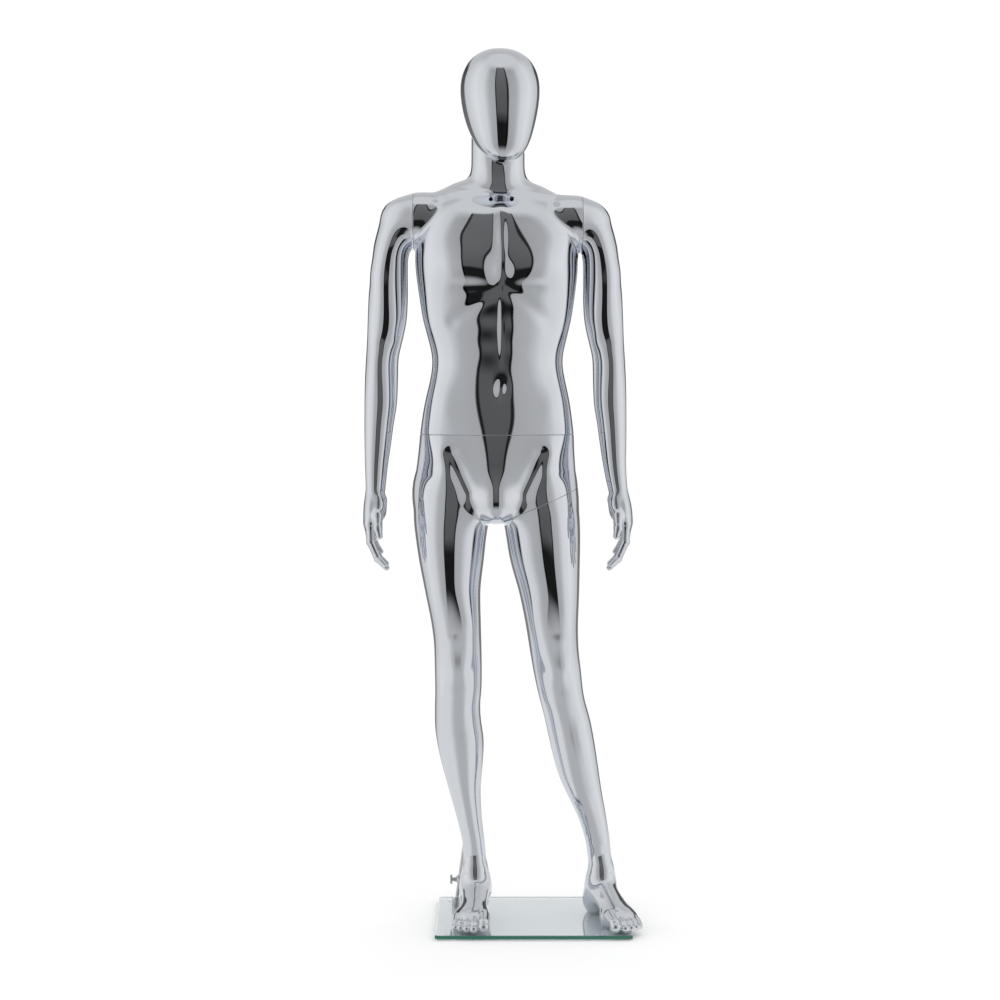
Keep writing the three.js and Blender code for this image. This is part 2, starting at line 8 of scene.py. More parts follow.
import bmesh
import bpy
import numpy as np
from mathutils import Matrix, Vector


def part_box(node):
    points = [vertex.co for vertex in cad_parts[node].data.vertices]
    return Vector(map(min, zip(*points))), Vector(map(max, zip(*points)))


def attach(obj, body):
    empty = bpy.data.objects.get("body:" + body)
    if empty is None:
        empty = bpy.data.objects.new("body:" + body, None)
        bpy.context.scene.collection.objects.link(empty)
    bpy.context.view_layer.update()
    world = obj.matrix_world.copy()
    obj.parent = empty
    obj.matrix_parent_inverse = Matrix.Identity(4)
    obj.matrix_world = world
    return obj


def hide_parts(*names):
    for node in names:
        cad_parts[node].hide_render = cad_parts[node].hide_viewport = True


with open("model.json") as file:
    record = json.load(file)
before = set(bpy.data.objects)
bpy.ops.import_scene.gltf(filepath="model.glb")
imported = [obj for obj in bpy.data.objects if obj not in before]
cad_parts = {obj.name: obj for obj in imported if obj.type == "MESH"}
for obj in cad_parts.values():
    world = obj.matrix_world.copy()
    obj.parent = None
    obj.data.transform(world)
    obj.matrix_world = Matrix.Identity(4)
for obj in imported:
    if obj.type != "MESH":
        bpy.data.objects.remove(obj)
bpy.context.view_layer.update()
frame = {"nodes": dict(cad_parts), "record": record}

# ---- driving dimensions, as in the CAD part ----
BODY_X, HIPS_X = -4.3, -8.3  # middle of the upper body and of the hips
WAIST_Z = 1059.5
SHOULDER = 180.0
ARM_SHIFT = 5.5
NECK_Y, NECK_R, NECK_TOP, NECK_PLAY = 8.0, 57.0, 1738.0, 0.9
HEAD_LOW, HEAD_HIGH, HEAD_YAW = 1633.0, 1881.0, math.radians(9)
TRUNK_YAW, SHOULDER_LIFT = math.radians(4), 6.5
THIGH_X, THIGH_Z, THIGH_SLOPE = 13.0, 878.0, math.radians(23.3)
CROTCH_X = 8.0
SOLE = 11.3
ROD_FOOT, BOLT_HOLE_R = (-98.0, 90.0), 4.5
# the feet: -1 is the right one and 1 the left one
TOE_OUT = {-1: math.radians(2), 1: math.radians(17)}
ANKLES = {-1: (-54.0, 18.0), 1: (217.0, 16.0)}
HEEL_TO_ANKLE = 56
NECK_HOLES, HOLE_Z, HOLE_R = (-14.9, 28.8), 1556.0, 5.0
# the neck holes' black cups are painted shade: dark pieces that darken the inside of each hole
SHADE_CUP_WALL, HOLE_DEPTH = 1.6, 16.0  # wall and depth of the cup behind each neck hole
GLASS_CORNER, GLASS_EDGE = 4.0, 1.0  # rounding of the plate's corners and of its ground edges
SEAM_TURN = 0.22  # how sharply the arm's skin turns away at the shoulder seam
SEAM = 1.1  # half the open line between two shells
WALL = 4.0
ROUND = 2  # the power of a plain ellipse
EGG_POWER = 2.22  # the head's rings are a little squarer, which broadens the face
CHEST_POWER = 2.3  # and so is the chest
MM = 0.001  # one millimetre in the meshes' metres

# trunk: height, middle x, half width, front y, back y
TORSO = [
    (1000, -8, 171, -104, 110), (1035, -7, 167.5, -106, 100), (1059.5, -6.5, 165, -108, 92),
    (1091, -6.5, 160.5, -109.5, 82), (1127, -6.5, 153.5, -110, 74), (1167, -6.5, 145, -110, 68),
    (1217, -7, 139, -112, 68), (1258, -7, 146.5, -114.5, 74), (1312, -7.8, 159, -118, 86),
    (1364, -7.6, 166, -123, 96), (1403, -8, 171, -128, 102), (1438, -8.4, 173.5, -126, 104),
    (1470, -6, 174, -120, 104), (1502, -4.5, 168, -111, 100), (1535, -4.3, 144, -94, 94),
    (1560, -4.3, 114, -70, 86), (1580, -4.3, 88, -50, 78),
]
PELVIS = [
    (1110, -6.4, 156, -109, 78), (1084, -6.5, 161.5, -109, 84), (1059.5, -6.5, 165, -108, 92),
    (1030, -7.5, 167, -106, 101), (990, -8.6, 171, -103, 108), (941, -10.8, 174, -100, 108),
    (912, -9, 170, -94, 98), (890, -8, 150, -80, 84), (872, -8, 110, -60, 62),
]
# legs: height, outer x, inner x, front y, back y
RIGHT_LEG = [
    (965, -180, -24, -90, 92), (920, -186, -20, -100, 92), (878, -185.8, -23, -104, 84),
    (840, -181.5, -29, -104, 76), (796, -175, -33.5, -102, 70), (714, -158.8, -42, -95, 60),
    (651, -147, -41, -86, 54), (600, -142, -39.5, -74, 51), (548, -141, -38.9, -63, 50),
    (507, -140.4, -39.5, -57, 54), (472, -141.5, -43, -49, 62), (429, -141.7, -40, -42, 70),
    (394, -138.2, -34.8, -38, 74), (350, -129, -36.5, -33, 70), (284, -111.2, -42, -26, 59),
    (226, -95, -39.5, -18, 49), (159, -81, -31.3, -13, 47), (103, -79, -28.5, -18, 53),
    (60, -80, -29, -20, 56), (30, -80, -29, -20, 56),
]
LEFT_LEG = [
    (965, 160, 14, -90, 92), (920, 167, 8, -100, 92), (878, 171.9, 7.5, -104, 84),
    (840, 172.6, 13, -104, 76), (796, 171.9, 19.8, -102, 70), (714, 169.8, 42, -95, 60),
    (651, 167.8, 55, -86, 54), (600, 169.3, 63, -74, 51), (550, 175, 71.5, -63, 50),
    (494, 181.4, 83.2, -56, 56), (440, 196, 97.2, -44, 69), (379, 207.4, 110.2, -38, 74),
    (312, 217, 129, -30, 65), (273, 223, 147, -25, 57), (230, 231, 168, -18, 49),
    (174, 239.8, 185.8, -14, 47), (148, 242.5, 190, -14, 48), (103, 246, 194, -18, 53),
    (60, 246, 194, -20, 54), (30, 246, 194, -20, 54),
]
# arm: height, outer and inner distance from the middle of the trunk, front y, back y
ARM = [
    (1510, 250, 150, -60, 60), (1486, 256, 160, -62, 62), (1470, 260, 170, -61, 61),
    (1456, 262, 181.5, -59, 59), (1438, 264, 187, -55, 56), (1403, 270.5, 187.5, -48, 51),
    (1364, 272, 187.5, -43, 51), (1312, 274.5, 189.5, -37, 52), (1258, 276.5, 200, -31, 53),
    (1217, 279, 209, -33, 51), (1170, 281, 209.5, -38, 45), (1127, 281.5, 211, -42, 35),
    (1083, 281.5, 218, -44, 27), (1040, 281, 223.5, -46, 17), (997, 280, 230, -47, 8),
    (951, 280, 237, -47, 3), (925, 282.5, 242, -51, 5), (895, 286.5, 250, -58, 8),
    (868, 287, 257, -62, 9),
]
# egg head about the neck pin: height, half width, front y, back y
HEAD = [
    (1640, 26, -100, -60), (1652, 40, -108, -32), (1671, 53.5, -114.5, 10), (1701, 66, -120, 52),
    (1724, 73, -123, 71), (1757, 80, -126, 83), (1790, 83, -125, 89), (1815, 81.5, -117, 88),
    (1843, 70.5, -99, 76), (1862, 54, -75, 59), (1875, 36, -50, 41),
]


# ---- smooth maths ----
def smooth_columns(rows, spread=9.0, step=1.0):
    """Columns of a table as smooth functions of its first value: a cubic, then blurred."""
    rows = np.array(sorted(rows), float)
    z = rows[:, 0]
    pad = 4 * spread
    grid = np.arange(z[0] - pad, z[-1] + pad + step, step)
    place = np.clip(grid, z[0], z[-1])
    at = np.clip(np.searchsorted(z, place, side="right") - 1, 0, len(z) - 2)
    span = z[at + 1] - z[at]
    t = (place - z[at]) / span
    kernel = np.exp(-0.5 * (np.arange(-pad, pad + step, step) / spread) ** 2)
    kernel /= kernel.sum()
    columns = []
    for c in range(1, rows.shape[1]):
        v = rows[:, c]
        rise = np.diff(v) / np.diff(z)
        slope = np.zeros_like(v)
        same = rise[:-1] * rise[1:] > 0
        slope[1:-1][same] = 2 * rise[:-1][same] * rise[1:][same] / (rise[:-1] + rise[1:])[same]
        h00 = 2 * t**3 - 3 * t**2 + 1
        h10 = t**3 - 2 * t**2 + t
        h11 = t**3 - t**2
        curve = (h00 * v[at] + h10 * span * slope[at]
                 + (1 - h00) * v[at + 1] + h11 * span * slope[at + 1])
        wide = np.pad(curve, len(kernel) // 2, mode="edge")
        columns.append(np.convolve(wide, kernel, mode="valid"))
    return grid, columns


def look_up(smooth, z):
    """The smoothed columns at height z."""
    grid, columns = smooth
    return [np.interp(z, grid, column) for column in columns]


def join(a, b, k):
    """The union of two fields, rounded over a width k where they meet."""
    h = np.maximum(k - np.abs(a - b), 0.0) / k
    return np.minimum(a, b) - h * h * h * k / 6.0


def meet(a, b, k):
    """What two fields share, rounded over a width k where they meet."""
    return -join(-a, -b, k)


def section(x, y, xc, yc, half_x, half_y, power):
    """Distance-like field of an oval column."""
    u = np.abs((x - xc) / half_x)
    v = np.abs((y - yc) / half_y)
    norm = np.sqrt(u * u + v * v) if power is ROUND else (u**power + v**power) ** (1 / power)
    return (norm - 1.0) * np.minimum(half_x, half_y)


def ball(p, centre, radii):
    """Distance-like field of an egg with three radii."""
    q = [(p[i] - centre[i]) / radii[i] for i in range(3)]
    k0 = np.sqrt(q[0] ** 2 + q[1] ** 2 + q[2] ** 2)
    k1 = np.sqrt(sum((q[i] / radii[i]) ** 2 for i in range(3)))
    return k0 * (k0 - 1.0) / np.maximum(k1, 1e-6)


def along(p, a, b):
    """How far along a-b each point is, from 0 to 1, and its distance from the line."""
    way = [b[i] - a[i] for i in range(3)]
    length = sum(w * w for w in way)
    t = np.clip(sum((p[i] - a[i]) * way[i] for i in range(3)) / length, 0, 1)
    far = np.sqrt(sum((p[i] - a[i] - t * way[i]) ** 2 for i in range(3)))
    return t, far


def rod(p, a, b, ra, rb):
    """Distance-like field of a round-ended bar from a to b, of radius ra at a and rb at b."""
    t, far = along(p, a, b)
    return far - (ra + (rb - ra) * t)


def smooth_step(value, low, high):
    """0 below low, 1 above high and an even slope between."""
    t = np.clip((value - low) / (high - low), 0, 1)
    return t * t * (3 - 2 * t)


def swell(p, centre, radii, amount):
    """A soft round swelling, or a hollow where amount is negative."""
    return amount * np.exp(-sum(((p[i] - centre[i]) / radii[i]) ** 2 for i in range(3)))


def ridge(p, a, b, width, amount):
    """A soft long swelling from a to b, or a groove where amount is negative."""
    return amount * np.exp(-((along(p, a, b)[1] / width) ** 2))


def swells(p, rows):
    """All the swellings of a table: middle, radii and height of each."""
    return sum(swell(p, *row) for row in rows)


def ridges(p, rows):
    """All the ridges of a table: two ends, width and height of each."""
    return sum(ridge(p, *row) for row in rows)


TORSO_F, PELVIS_F = smooth_columns(TORSO, 12), smooth_columns(PELVIS, 11)
LEG_F = {-1: smooth_columns(RIGHT_LEG, 12), 1: smooth_columns(LEFT_LEG, 12)}
ARM_F = smooth_columns(ARM, 11)
EGG_MIDDLE, EGG_HALF = (HEAD_LOW + HEAD_HIGH) / 2, (HEAD_HIGH - HEAD_LOW) / 2


def egg_rows():
    """The head's table with each ring divided by the ring of a round egg at its height."""
    rows = []
    for z, half, front, back in HEAD:
        ring = math.sqrt(1 - ((z - EGG_MIDDLE) / EGG_HALF) ** 2)
        rows.append((z, half / ring, (front + back) / 2, (back - front) / 2 / ring))
    first, last = rows[0], rows[-1]
    return [(HEAD_LOW - 6, *first[1:])] + rows + [(HEAD_HIGH + 6, last[1], -4, last[3])]


EGG_F = smooth_columns(egg_rows(), 22)


# ---- the figure ----
def arm_distance(x, z, side):
    shift = ARM_SHIFT * smooth_step(z, 870, 1010) * (1 - smooth_step(z, 1540, 1600))
    return side * (x - BODY_X + shift)


FINGERS = [
    # points as (side, y, z) and the radius at each, from the forefinger to the little one
    (((272, -54, 868), (270, -60, 832), (257, -60, 801), (241, -56, 783)), (9.5, 8.4, 7.5, 6.2)),
    (((274, -34, 866), (272.5, -37, 829), (257.5, -37, 793), (239, -35, 774)), (9.8, 8.7, 7.8, 6.4)),
    (((275, -14, 868), (273, -13, 831), (258.5, -13, 797), (241, -13, 781)), (9.5, 8.3, 7.5, 6.2)),
    (((274, 4, 872), (273, 8, 846), (265, 9, 822), (253, 8, 805)), (8.4, 7.3, 6.6, 5.5)),
]
THUMB = (((250, -38, 920), (255, -64, 888), (254.5, -79, 862), (251, -83, 845)), (14, 10.8, 8.8, 6.8))


def chain(p, points, radii, k):
    """Bars end to end through the points, rounded into each other."""
    field = None
    for i in range(len(points) - 1):
        bone = rod(p, points[i], points[i + 1], radii[i], radii[i + 1])
        field = bone if field is None else join(field, bone, k)
    return field


def hand(p):
    palm = ball(p, (270, -24, 880), (16.2, 40, 54))
    thumb_pad = ball(p, (252, -40, 904), (15, 22, 30))
    little_pad = ball(p, (263, -4, 886), (13, 18, 42))
    palm = join(join(palm, thumb_pad, 16), little_pad, 14)
    palm -= swell(p, (254, -24, 872), (12, 18, 26), -3.0)  # the cup of the palm
    fingers = None
    for points, radii in FINGERS:
        one = chain(p, points, radii, 5)
        side, y, z = points[1]
        one -= swell(p, (side + 6, y, z), (8, 9, 8), 0.8)  # middle joint
        fingers = one if fingers is None else join(fingers, one, 2.2)
    field = join(palm, fingers, 9)
    field = join(field, chain(p, *THUMB, 6), 9)
    for points, _ in FINGERS:
        _, y, z = points[0]
        field -= swell(p, (286, y * 0.96, z - 4), (9, 7, 12), 0.8)  # knuckle
    return field


ARM_SWELLS = [
    ((240, -46, 1372), (30, 26, 62), 5.0),  # front of the upper arm
    ((250, 54, 1385), (30, 26, 60), 4.5),  # back of the upper arm
    ((256, -34, 1206), (24, 26, 50), 3.5),  # front of the forearm
    ((236, 40, 1180), (24, 24, 60), 3.0),  # back of the forearm
    ((244, 56, 1250), (14, 14, 18), 2.5),  # elbow
    ((222, -30, 1256), (26, 12, 16), -2.0),  # bend of the elbow
    ((276, -2, 958), (12, 14, 14), 1.6),  # wrist bone
]
UNDER_SHOULDER = ((281, 6, 1430), (276, -4, 1385), 18, -1.6)  # groove below the shoulder muscle


def arm(p, side):
    x, y, z = p
    s = arm_distance(x, z, side)
    q = (s, y, z)
    outer, inner, front, back = look_up(ARM_F, z)
    limb = section(s, y, (outer + inner) / 2, (front + back) / 2,
                   (outer - inner) / 2, (back - front) / 2, ROUND)
    limb = meet(limb, z - 1508, 30)
    limb = meet(limb, 868 - z, 14)
    limb -= swells(q, ARM_SWELLS) + ridge(q, *UNDER_SHOULDER)
    past = np.maximum(side * (x - BODY_X) - SHOULDER, 0)
    turn = SEAM_TURN * past * np.exp(-past / 22)
    turn *= smooth_step(z, 1455, 1480) * (1 - smooth_step(y, -10, 40))  # above the armpit, in front
    shoulder = ball(q, (158, 0, 1516.5), (89, 71, 54.5))
    limb = join(limb, shoulder, 26) + turn
    return join(limb, hand(q), 16)


def upper(p):
    """The upper body with its neck and both arms."""
    x, y, z = p
    raised = smooth_step(BODY_X - 20 - x, 0, 80) * smooth_step(z, 1490, 1560)
    z = z - SHOULDER_LIFT * raised
    turn = TRUNK_YAW * smooth_step(z, 1070, 1200)
    cos, sin = np.cos(turn), np.sin(turn)
    dx = x - BODY_X
    tx, ty = dx * cos + y * sin, y * cos - dx * sin
    middle, half, front, back = look_up(TORSO_F, z)
    power = ROUND + (CHEST_POWER - ROUND) * smooth_step(z, 1300, 1400)
    trunk = section(tx, ty, middle - BODY_X, (front + back) / 2, half, (back - front) / 2, power)
    trunk = meet(trunk, z - 1588, 40)
    q = (np.abs(dx), y, z)
    yoke = rod(q, (34, 16, 1552), (142, 4, 1517), 51, 48)
    trunk = join(trunk, yoke, 46)
    neck = np.sqrt(dx * dx + (y - NECK_Y) ** 2) - NECK_R
    neck = meet(neck, z - NECK_TOP, 4)
    neck = meet(neck, 1540 - z, 20)
    trunk = join(trunk, neck, 40)
    q = (np.abs(tx), ty, z)
    trunk -= swells(q, TRUNK_SWELLS) + ridges(q, TRUNK_RIDGES) + over_waist(p)
    limbs = np.minimum(arm((x, y, z), -1), arm((x, y, z), 1))
    return join(trunk, limbs, 12)


TRUNK_SWELLS = [
    ((82, -120, 1422), (60, 48, 42), 10.0),  # chest
    ((120, -100, 1470), (46, 44, 40), 4.0),  # chest, up to the shoulder
    ((56, -124, 1370), (44, 30, 14), -3.0),  # fold under the chest
    ((0, -132, 1400), (23, 36, 30), -8.0),  # foot of the breastbone
    ((0, -118, 1482), (12, 40, 56), -4.5),  # breastbone
    ((0, -116, 1286), (7, 30, 60), -2.0),  # midline of the belly
    ((30, -116, 1338), (24, 34, 24), 1.0),  # belly muscle, in three rows
    ((30, -116, 1284), (24, 34, 24), 1.0),
    ((30, -116, 1232), (24, 34, 24), 0.8),
    ((0, -110, 1157), (11.5, 30, 19), -5.2),  # navel
    ((118, -50, 1125), (34, 60, 46), 5.0),  # side over the hip
    ((132, -40, 1330), (26, 40, 56), 3.0),  # ribs
    ((150, 22, 1404), (26, 50, 60), 5.0),  # back muscle under the arm
    ((0, 100, 1300), (15, 40, 210), -7.0),  # spine
    ((40, 96, 1200), (24, 40, 90), 3.5),  # long muscles beside the spine
    ((78, 100, 1462), (52, 40, 56), 6.0),  # shoulder blade
    ((38, 60, 1590), (40, 34, 50), 5.0),  # root of the neck at the back
]
TRUNK_RIDGES = [
    ((14, -128, 1368), (104, -100, 1300), 15, -2.4),  # arch of the ribs
    ((22, -56, 1566), (150, -26, 1570), 8, 2.6),  # collar bone
    ((40, -62, 1546), (140, -46, 1550), 9, -1.6),  # hollow under the collar bone
    ((14, -46, 1590), (44, -22, 1700), 14, 1.4),  # cord of the neck
    ((118, 88, 1500), (60, 104, 1396), 12, -3.0),  # edge of the shoulder blade
]
# what crosses the waist seam, about the hips' middle
WAIST_SWELLS = [
    ((0, -112, 955), (46, 60, 108), 8.0),  # low belly
    ((136, -64, 1060), (30, 36, 36), 2.0),  # side, at the front
    ((118, 60, 1060), (50, 36, 36), 2.6),  # side, at the back
]


def over_waist(p):
    return swells((np.abs(p[0] - HIPS_X), p[1], p[2]), WAIST_SWELLS)


ANKLE_BONES = [((58, 27, 92), (17, 10, 18), 3.0), ((62, -26, 100), (17, 10, 19), 3.2)]
TOES = [
    # sideways place, root and tip distance from the heel, radius; the big toe first
    (-25.5, 198, 242, 12.6), (-5.0, 202, 243, 9.6), (10.2, 199, 238, 9.0), (23.6, 195, 230, 8.5),
    (34.6, 188, 219, 7.9),
]


def foot(p, side):
    """A foot, worked out in its own frame: forwards from the heel, outwards, and up."""
    x, y, z = p
    ankle, turn = ANKLES[side], TOE_OUT[side]
    dx, dy = x - ankle[0], y - ankle[1]
    sin, cos = math.sin(turn * side), math.cos(turn)
    q = (HEEL_TO_ANKLE + dx * sin - dy * cos, side * (dx * cos + dy * sin), z)
    heel = join(ball(q, (34, 0, 42), (33, 29, 40)), rod(q, (60, 0, 62), (70, 0, 110), 32, 26), 22)
    instep = rod(q, (70, -2, 74), (174, -3, 33), 31, 24)
    ball_pad = ball(q, (168, 2, 29), (47, 38.5, 26))
    outer_edge = rod(q, (44, 12, 30), (168, 22, 24), 18, 15)
    field = join(join(join(heel, instep, 26), ball_pad, 24), outer_edge, 22)
    field -= swell(q, (112, -30, 22), (38, 12, 22), -5.0)  # arch
    if side > 0:
        field -= swell(q, (118, 30, 46), (40, 17, 20), 8.0)  # the turned foot is fuller outside
    toes = None
    for across, root, tip, r in TOES:
        start = (root - 10, across * 0.94, SOLE + r + 15)
        knuckle = (tip - 21, across, SOLE + r + 8)
        end = (tip - r, across, SOLE + r - 0.4)
        toe = join(rod(q, start, knuckle, r, r * 0.88), rod(q, knuckle, end, r * 0.86, r), 4)
        toe -= swell(q, (tip - 6, across, SOLE + 2 * r - 1.2), (5, r * 0.62, 2.4), -0.8)  # nail
        toes = toe if toes is None else join(toes, toe, 1.6)
    field = join(field, toes, 6)
    for across, root, _, _ in TOES[:-1]:
        field -= ridge(q, (root - 34, across * 0.6, 60), (root - 4, across, 46), 6, 0.4)  # tendon
    field -= swells(q, ANKLE_BONES)
    return meet(field, SOLE - z, 3.0)


# a leg's forms, outwards from its own middle
LEG_SWELLS = [
    ((34, -66, 790), (38, 44, 110), 4.5),  # outside of the thigh
    ((-30, -56, 660), (24, 34, 52), 4.5),  # inside of the thigh, above the knee
    ((32, -56, 690), (26, 36, 60), 3.0),  # outside of the thigh, above the knee
    ((0, 66, 740), (40, 30, 90), 3.5),  # back of the thigh
    ((0, -66, 556), (26, 22, 32), 3.4),  # kneecap
    ((0, -56, 500), (16, 16, 20), 1.0),  # below the kneecap
    ((-29, -50, 560), (12, 18, 28), -1.4),  # hollows beside the kneecap
    ((29, -50, 560), (12, 18, 28), -1.4),
    ((0, 54, 545), (26, 16, 34), -4.0),  # hollow of the knee
    ((-20, 66, 400), (24, 30, 62), 4.0),  # calf, its inner and its outer half
    ((20, 64, 418), (24, 30, 58), 3.6),
    ((0, 74, 372), (8, 18, 50), -2.2),  # groove between them
    ((18, 32, 150), (10, 14, 60), -2.6),  # hollows beside the heel's tendon
    ((-18, 32, 150), (10, 14, 60), -2.6),
]
LEG_RIDGES = [
    ((-20, -74, 880), (8, -84, 640), 14, -1.6),  # groove down the thigh
    ((-6, -44, 470), (-2, -20, 170), 20, 1.6),  # shin
]
LOOSE_THIGH = ((26, -84, 880), (18, -72, 560), 34, 4.5)  # fuller down the front


def leg(p, side):
    """A leg with its foot, the right one for side -1 and the loose left one for side 1."""
    x, y, z = p
    outer, inner, front, back = look_up(LEG_F[side], z)
    middle = (outer + inner) / 2
    field = section(x, y, middle, (front + back) / 2, np.abs(outer - inner) / 2,
                    (back - front) / 2, ROUND)
    field = meet(field, z - 968, 40)
    field = meet(field, 60 - z, 12)
    q = (side * (x - middle), y, z)
    field -= swells(q, LEG_SWELLS) + ridges(q, LEG_RIDGES)
    if side > 0:
        field -= ridge(q, *LOOSE_THIGH)
    return join(field, foot(p, side), 20)


HIP_SWELLS = [
    ((0, 122, 930), (9, 60, 74), -12.0),  # cleft of the seat
    ((112, -92, 1004), (35, 46, 50), 11.5),  # front of the hip bone
    ((36, -92, 892), (26, 24, 26), 4.5),  # top of the thigh beside the crotch
    ((118, -50, 1080), (34, 60, 44), 3.0),  # side, under the waist
    ((132, 34, 930), (26, 34, 40), -3.0),  # hollow behind the hip
]
HIP_RIDGES = [
    ((96, -96, 1020), (58, -98, 936), 15, -6.0),  # groin
    ((20, 86, 868), (130, 74, 880), 12, -4.0),  # fold under the seat
]


def lower(p):
    """The hips with both legs."""
    x, y, z = p
    middle, half, front, back = look_up(PELVIS_F, z)
    hips = section(x, y, middle, (front + back) / 2, half, (back - front) / 2, ROUND)
    hips = meet(hips, 876 - z, 30)
    hips = meet(hips, z - 1112, 10)
    q = (np.abs(x - HIPS_X), y, z)
    seat, front_bulge = ball(q, (74, 42, 944), (82, 78, 84)), ball(q, (0, -74, 916), (34, 40, 40))
    hips = join(join(hips, seat, 34), front_bulge, 40)
    legs = join(leg(p, -1), leg(p, 1), 8)
    return join(hips, legs, 26) - swells(q, HIP_SWELLS) - ridges(q, HIP_RIDGES) - over_waist(p)


EGG_SCALE = 80  # turns the head's norm into about millimetres


def head(p):
    """The egg head, turned a little about the neck pin."""
    x, y, z = p
    dx, dy = x - BODY_X, y - NECK_Y
    cos, sin = math.cos(HEAD_YAW), math.sin(HEAD_YAW)
    u, v = dx * cos + dy * sin, -dx * sin + dy * cos + NECK_Y
    half_x, middle, half_y = look_up(EGG_F, z)
    high = (z - EGG_MIDDLE) / EGG_HALF
    ring = (np.abs(u / half_x) ** EGG_POWER + np.abs((v - middle) / half_y) ** EGG_POWER)
    norm = np.sqrt(ring ** (2 / EGG_POWER) + high * high)
    return (norm - 1.0) * EGG_SCALE


# ---- meshing ----
def spaced(stops):
    """Grid lines through (place, spacing) stops."""
    lines = [stops[0][0]]
    for (start, step), (end, _) in zip(stops, stops[1:]):
        count = max(1, round((end - start) / step))
        lines.extend(np.linspace(start, end, count + 1)[1:])
    return np.array(lines)


def gradient(field, v, h=0.6):
    """The field's slope at each point, from points h to either side."""
    g = np.empty_like(v)
    for axis in range(3):
        a, b = v.copy(), v.copy()
        a[:, axis] += h
        b[:, axis] -= h
        g[:, axis] = (field(a.T) - field(b.T)) / (2 * h)
    return g


def sample(field, axes, block=5):
    """The field on the grid, worked out only in the blocks that the skin may cross."""
    shape = tuple(len(a) for a in axes)
    values = np.empty(shape, np.float32)
    edges = [list(range(0, n, block)) + [n] for n in shape]
    spans, centres, reach = [], [], []
    for i0, i1 in zip(edges[0], edges[0][1:]):
        for j0, j1 in zip(edges[1], edges[1][1:]):
            for k0, k1 in zip(edges[2], edges[2][1:]):
                low = np.array([axes[0][i0], axes[1][j0], axes[2][k0]])
                high = np.array([axes[0][i1 - 1], axes[1][j1 - 1], axes[2][k1 - 1]])
                spans.append((i0, i1, j0, j1, k0, k1))
                centres.append((low + high) / 2)
                reach.append(np.linalg.norm(high - low) / 2)
    at = field(np.array(centres).T)
    wanted = []
    steepest, spare = 2.2, 6  # the field rises by no more than this for each millimetre
    for span, value, far in zip(spans, at, reach):
        i0, i1, j0, j1, k0, k1 = span
        values[i0:i1, j0:j1, k0:k1] = value
        if abs(value) < steepest * far + spare:
            wanted.append(span)
    ids = np.concatenate([
        np.stack(np.meshgrid(np.arange(a, b), np.arange(c, d), np.arange(e, f), indexing="ij"), -1)
        .reshape(-1, 3) for a, b, c, d, e, f in wanted])
    chunk = 200000  # so that the memory in use stays small
    for start in range(0, len(ids), chunk):
        part = ids[start:start + chunk]
        p = np.stack([axes[i][part[:, i]] for i in range(3)])
        values[part[:, 0], part[:, 1], part[:, 2]] = field(p)
    return values


def surface_nets(values, axes):
    """One point for each cell that the skin crosses, and quads between them."""
    inside = values < 0
    corners = [inside[i:i + inside.shape[0] - 1, j:j + inside.shape[1] - 1, k:k + inside.shape[2] - 1]
               for i in (0, 1) for j in (0, 1) for k in (0, 1)]
    count = sum(c.astype(np.int8) for c in corners)
    cells = np.argwhere((count > 0) & (count < 8))
    number = -np.ones(count.shape, np.int64)
    number[tuple(cells.T)] = np.arange(len(cells))
    total, hits = np.zeros((len(cells), 3)), np.zeros(len(cells))
    ends = [(a, a + step) for step in (4, 2, 1) for a in range(8) if not a & step]
    offset = [np.array([(c >> 2) & 1, (c >> 1) & 1, c & 1]) for c in range(8)]
    for a, b in ends:
        ca, cb = cells + offset[a], cells + offset[b]
        va, vb = values[tuple(ca.T)], values[tuple(cb.T)]
        cross = (va < 0) != (vb < 0)
        t = np.where(cross, va / np.where(cross, va - vb, 1), 0)[:, None]
        pa = np.stack([axes[i][ca[:, i]] for i in range(3)], 1)
        pb = np.stack([axes[i][cb[:, i]] for i in range(3)], 1)
        total += np.where(cross[:, None], pa + t * (pb - pa), 0)
        hits += cross
    points = total / hits[:, None]
    quads = []
    for axis in range(3):
        low = [slice(None)] * 3
        high = [slice(None)] * 3
        low[axis], high[axis] = slice(0, -1), slice(1, None)
        others = [o for o in range(3) if o != axis]
        for o in others:
            low[o] = high[o] = slice(1, -1)
        a, b = inside[tuple(low)], inside[tuple(high)]
        at = np.argwhere(a != b)
        leaving = a[tuple(at.T)]
        for o in others:
            at[:, o] += 1
        around = []
        for da, db in ((-1, -1), (0, -1), (0, 0), (-1, 0)):
            cell = at.copy()
            cell[:, others[0]] += da
            cell[:, others[1]] += db
            around.append(number[tuple(cell.T)])
        ring = np.stack(around, 1)
        if axis == 1:
            leaving = ~leaving
        ring[~leaving] = ring[~leaving][:, ::-1]
        quads.append(ring)
    return points, np.concatenate(quads)


def settle(field, v, steps=3, most=2.0):
    """Moves points along the field's slope until they lie on the skin."""
    for _ in range(steps):
        g = gradient(field, v)
        f = field(v.T)
        move = (f / np.maximum((g * g).sum(1), 1e-4))[:, None] * g
        long = np.linalg.norm(move, axis=1, keepdims=True)
        v = v - move * np.minimum(1, most / np.maximum(long, 1e-9))
    return v


def relax(v, quads, rounds):
    """Moves each point half way to the middle of its neighbours, a few times over."""
    pairs = np.concatenate([quads[:, [i, (i + 1) % 4]] for i in range(4)])
    degree = np.bincount(pairs.ravel(), minlength=len(v))
    for _ in range(rounds):
        mean = np.zeros_like(v)
        for axis in range(3):
            mean[:, axis] = (np.bincount(pairs[:, 0], v[pairs[:, 1], axis], len(v))
                             + np.bincount(pairs[:, 1], v[pairs[:, 0], axis], len(v)))
        v = v + 0.5 * (mean / degree[:, None] - v)
    return v


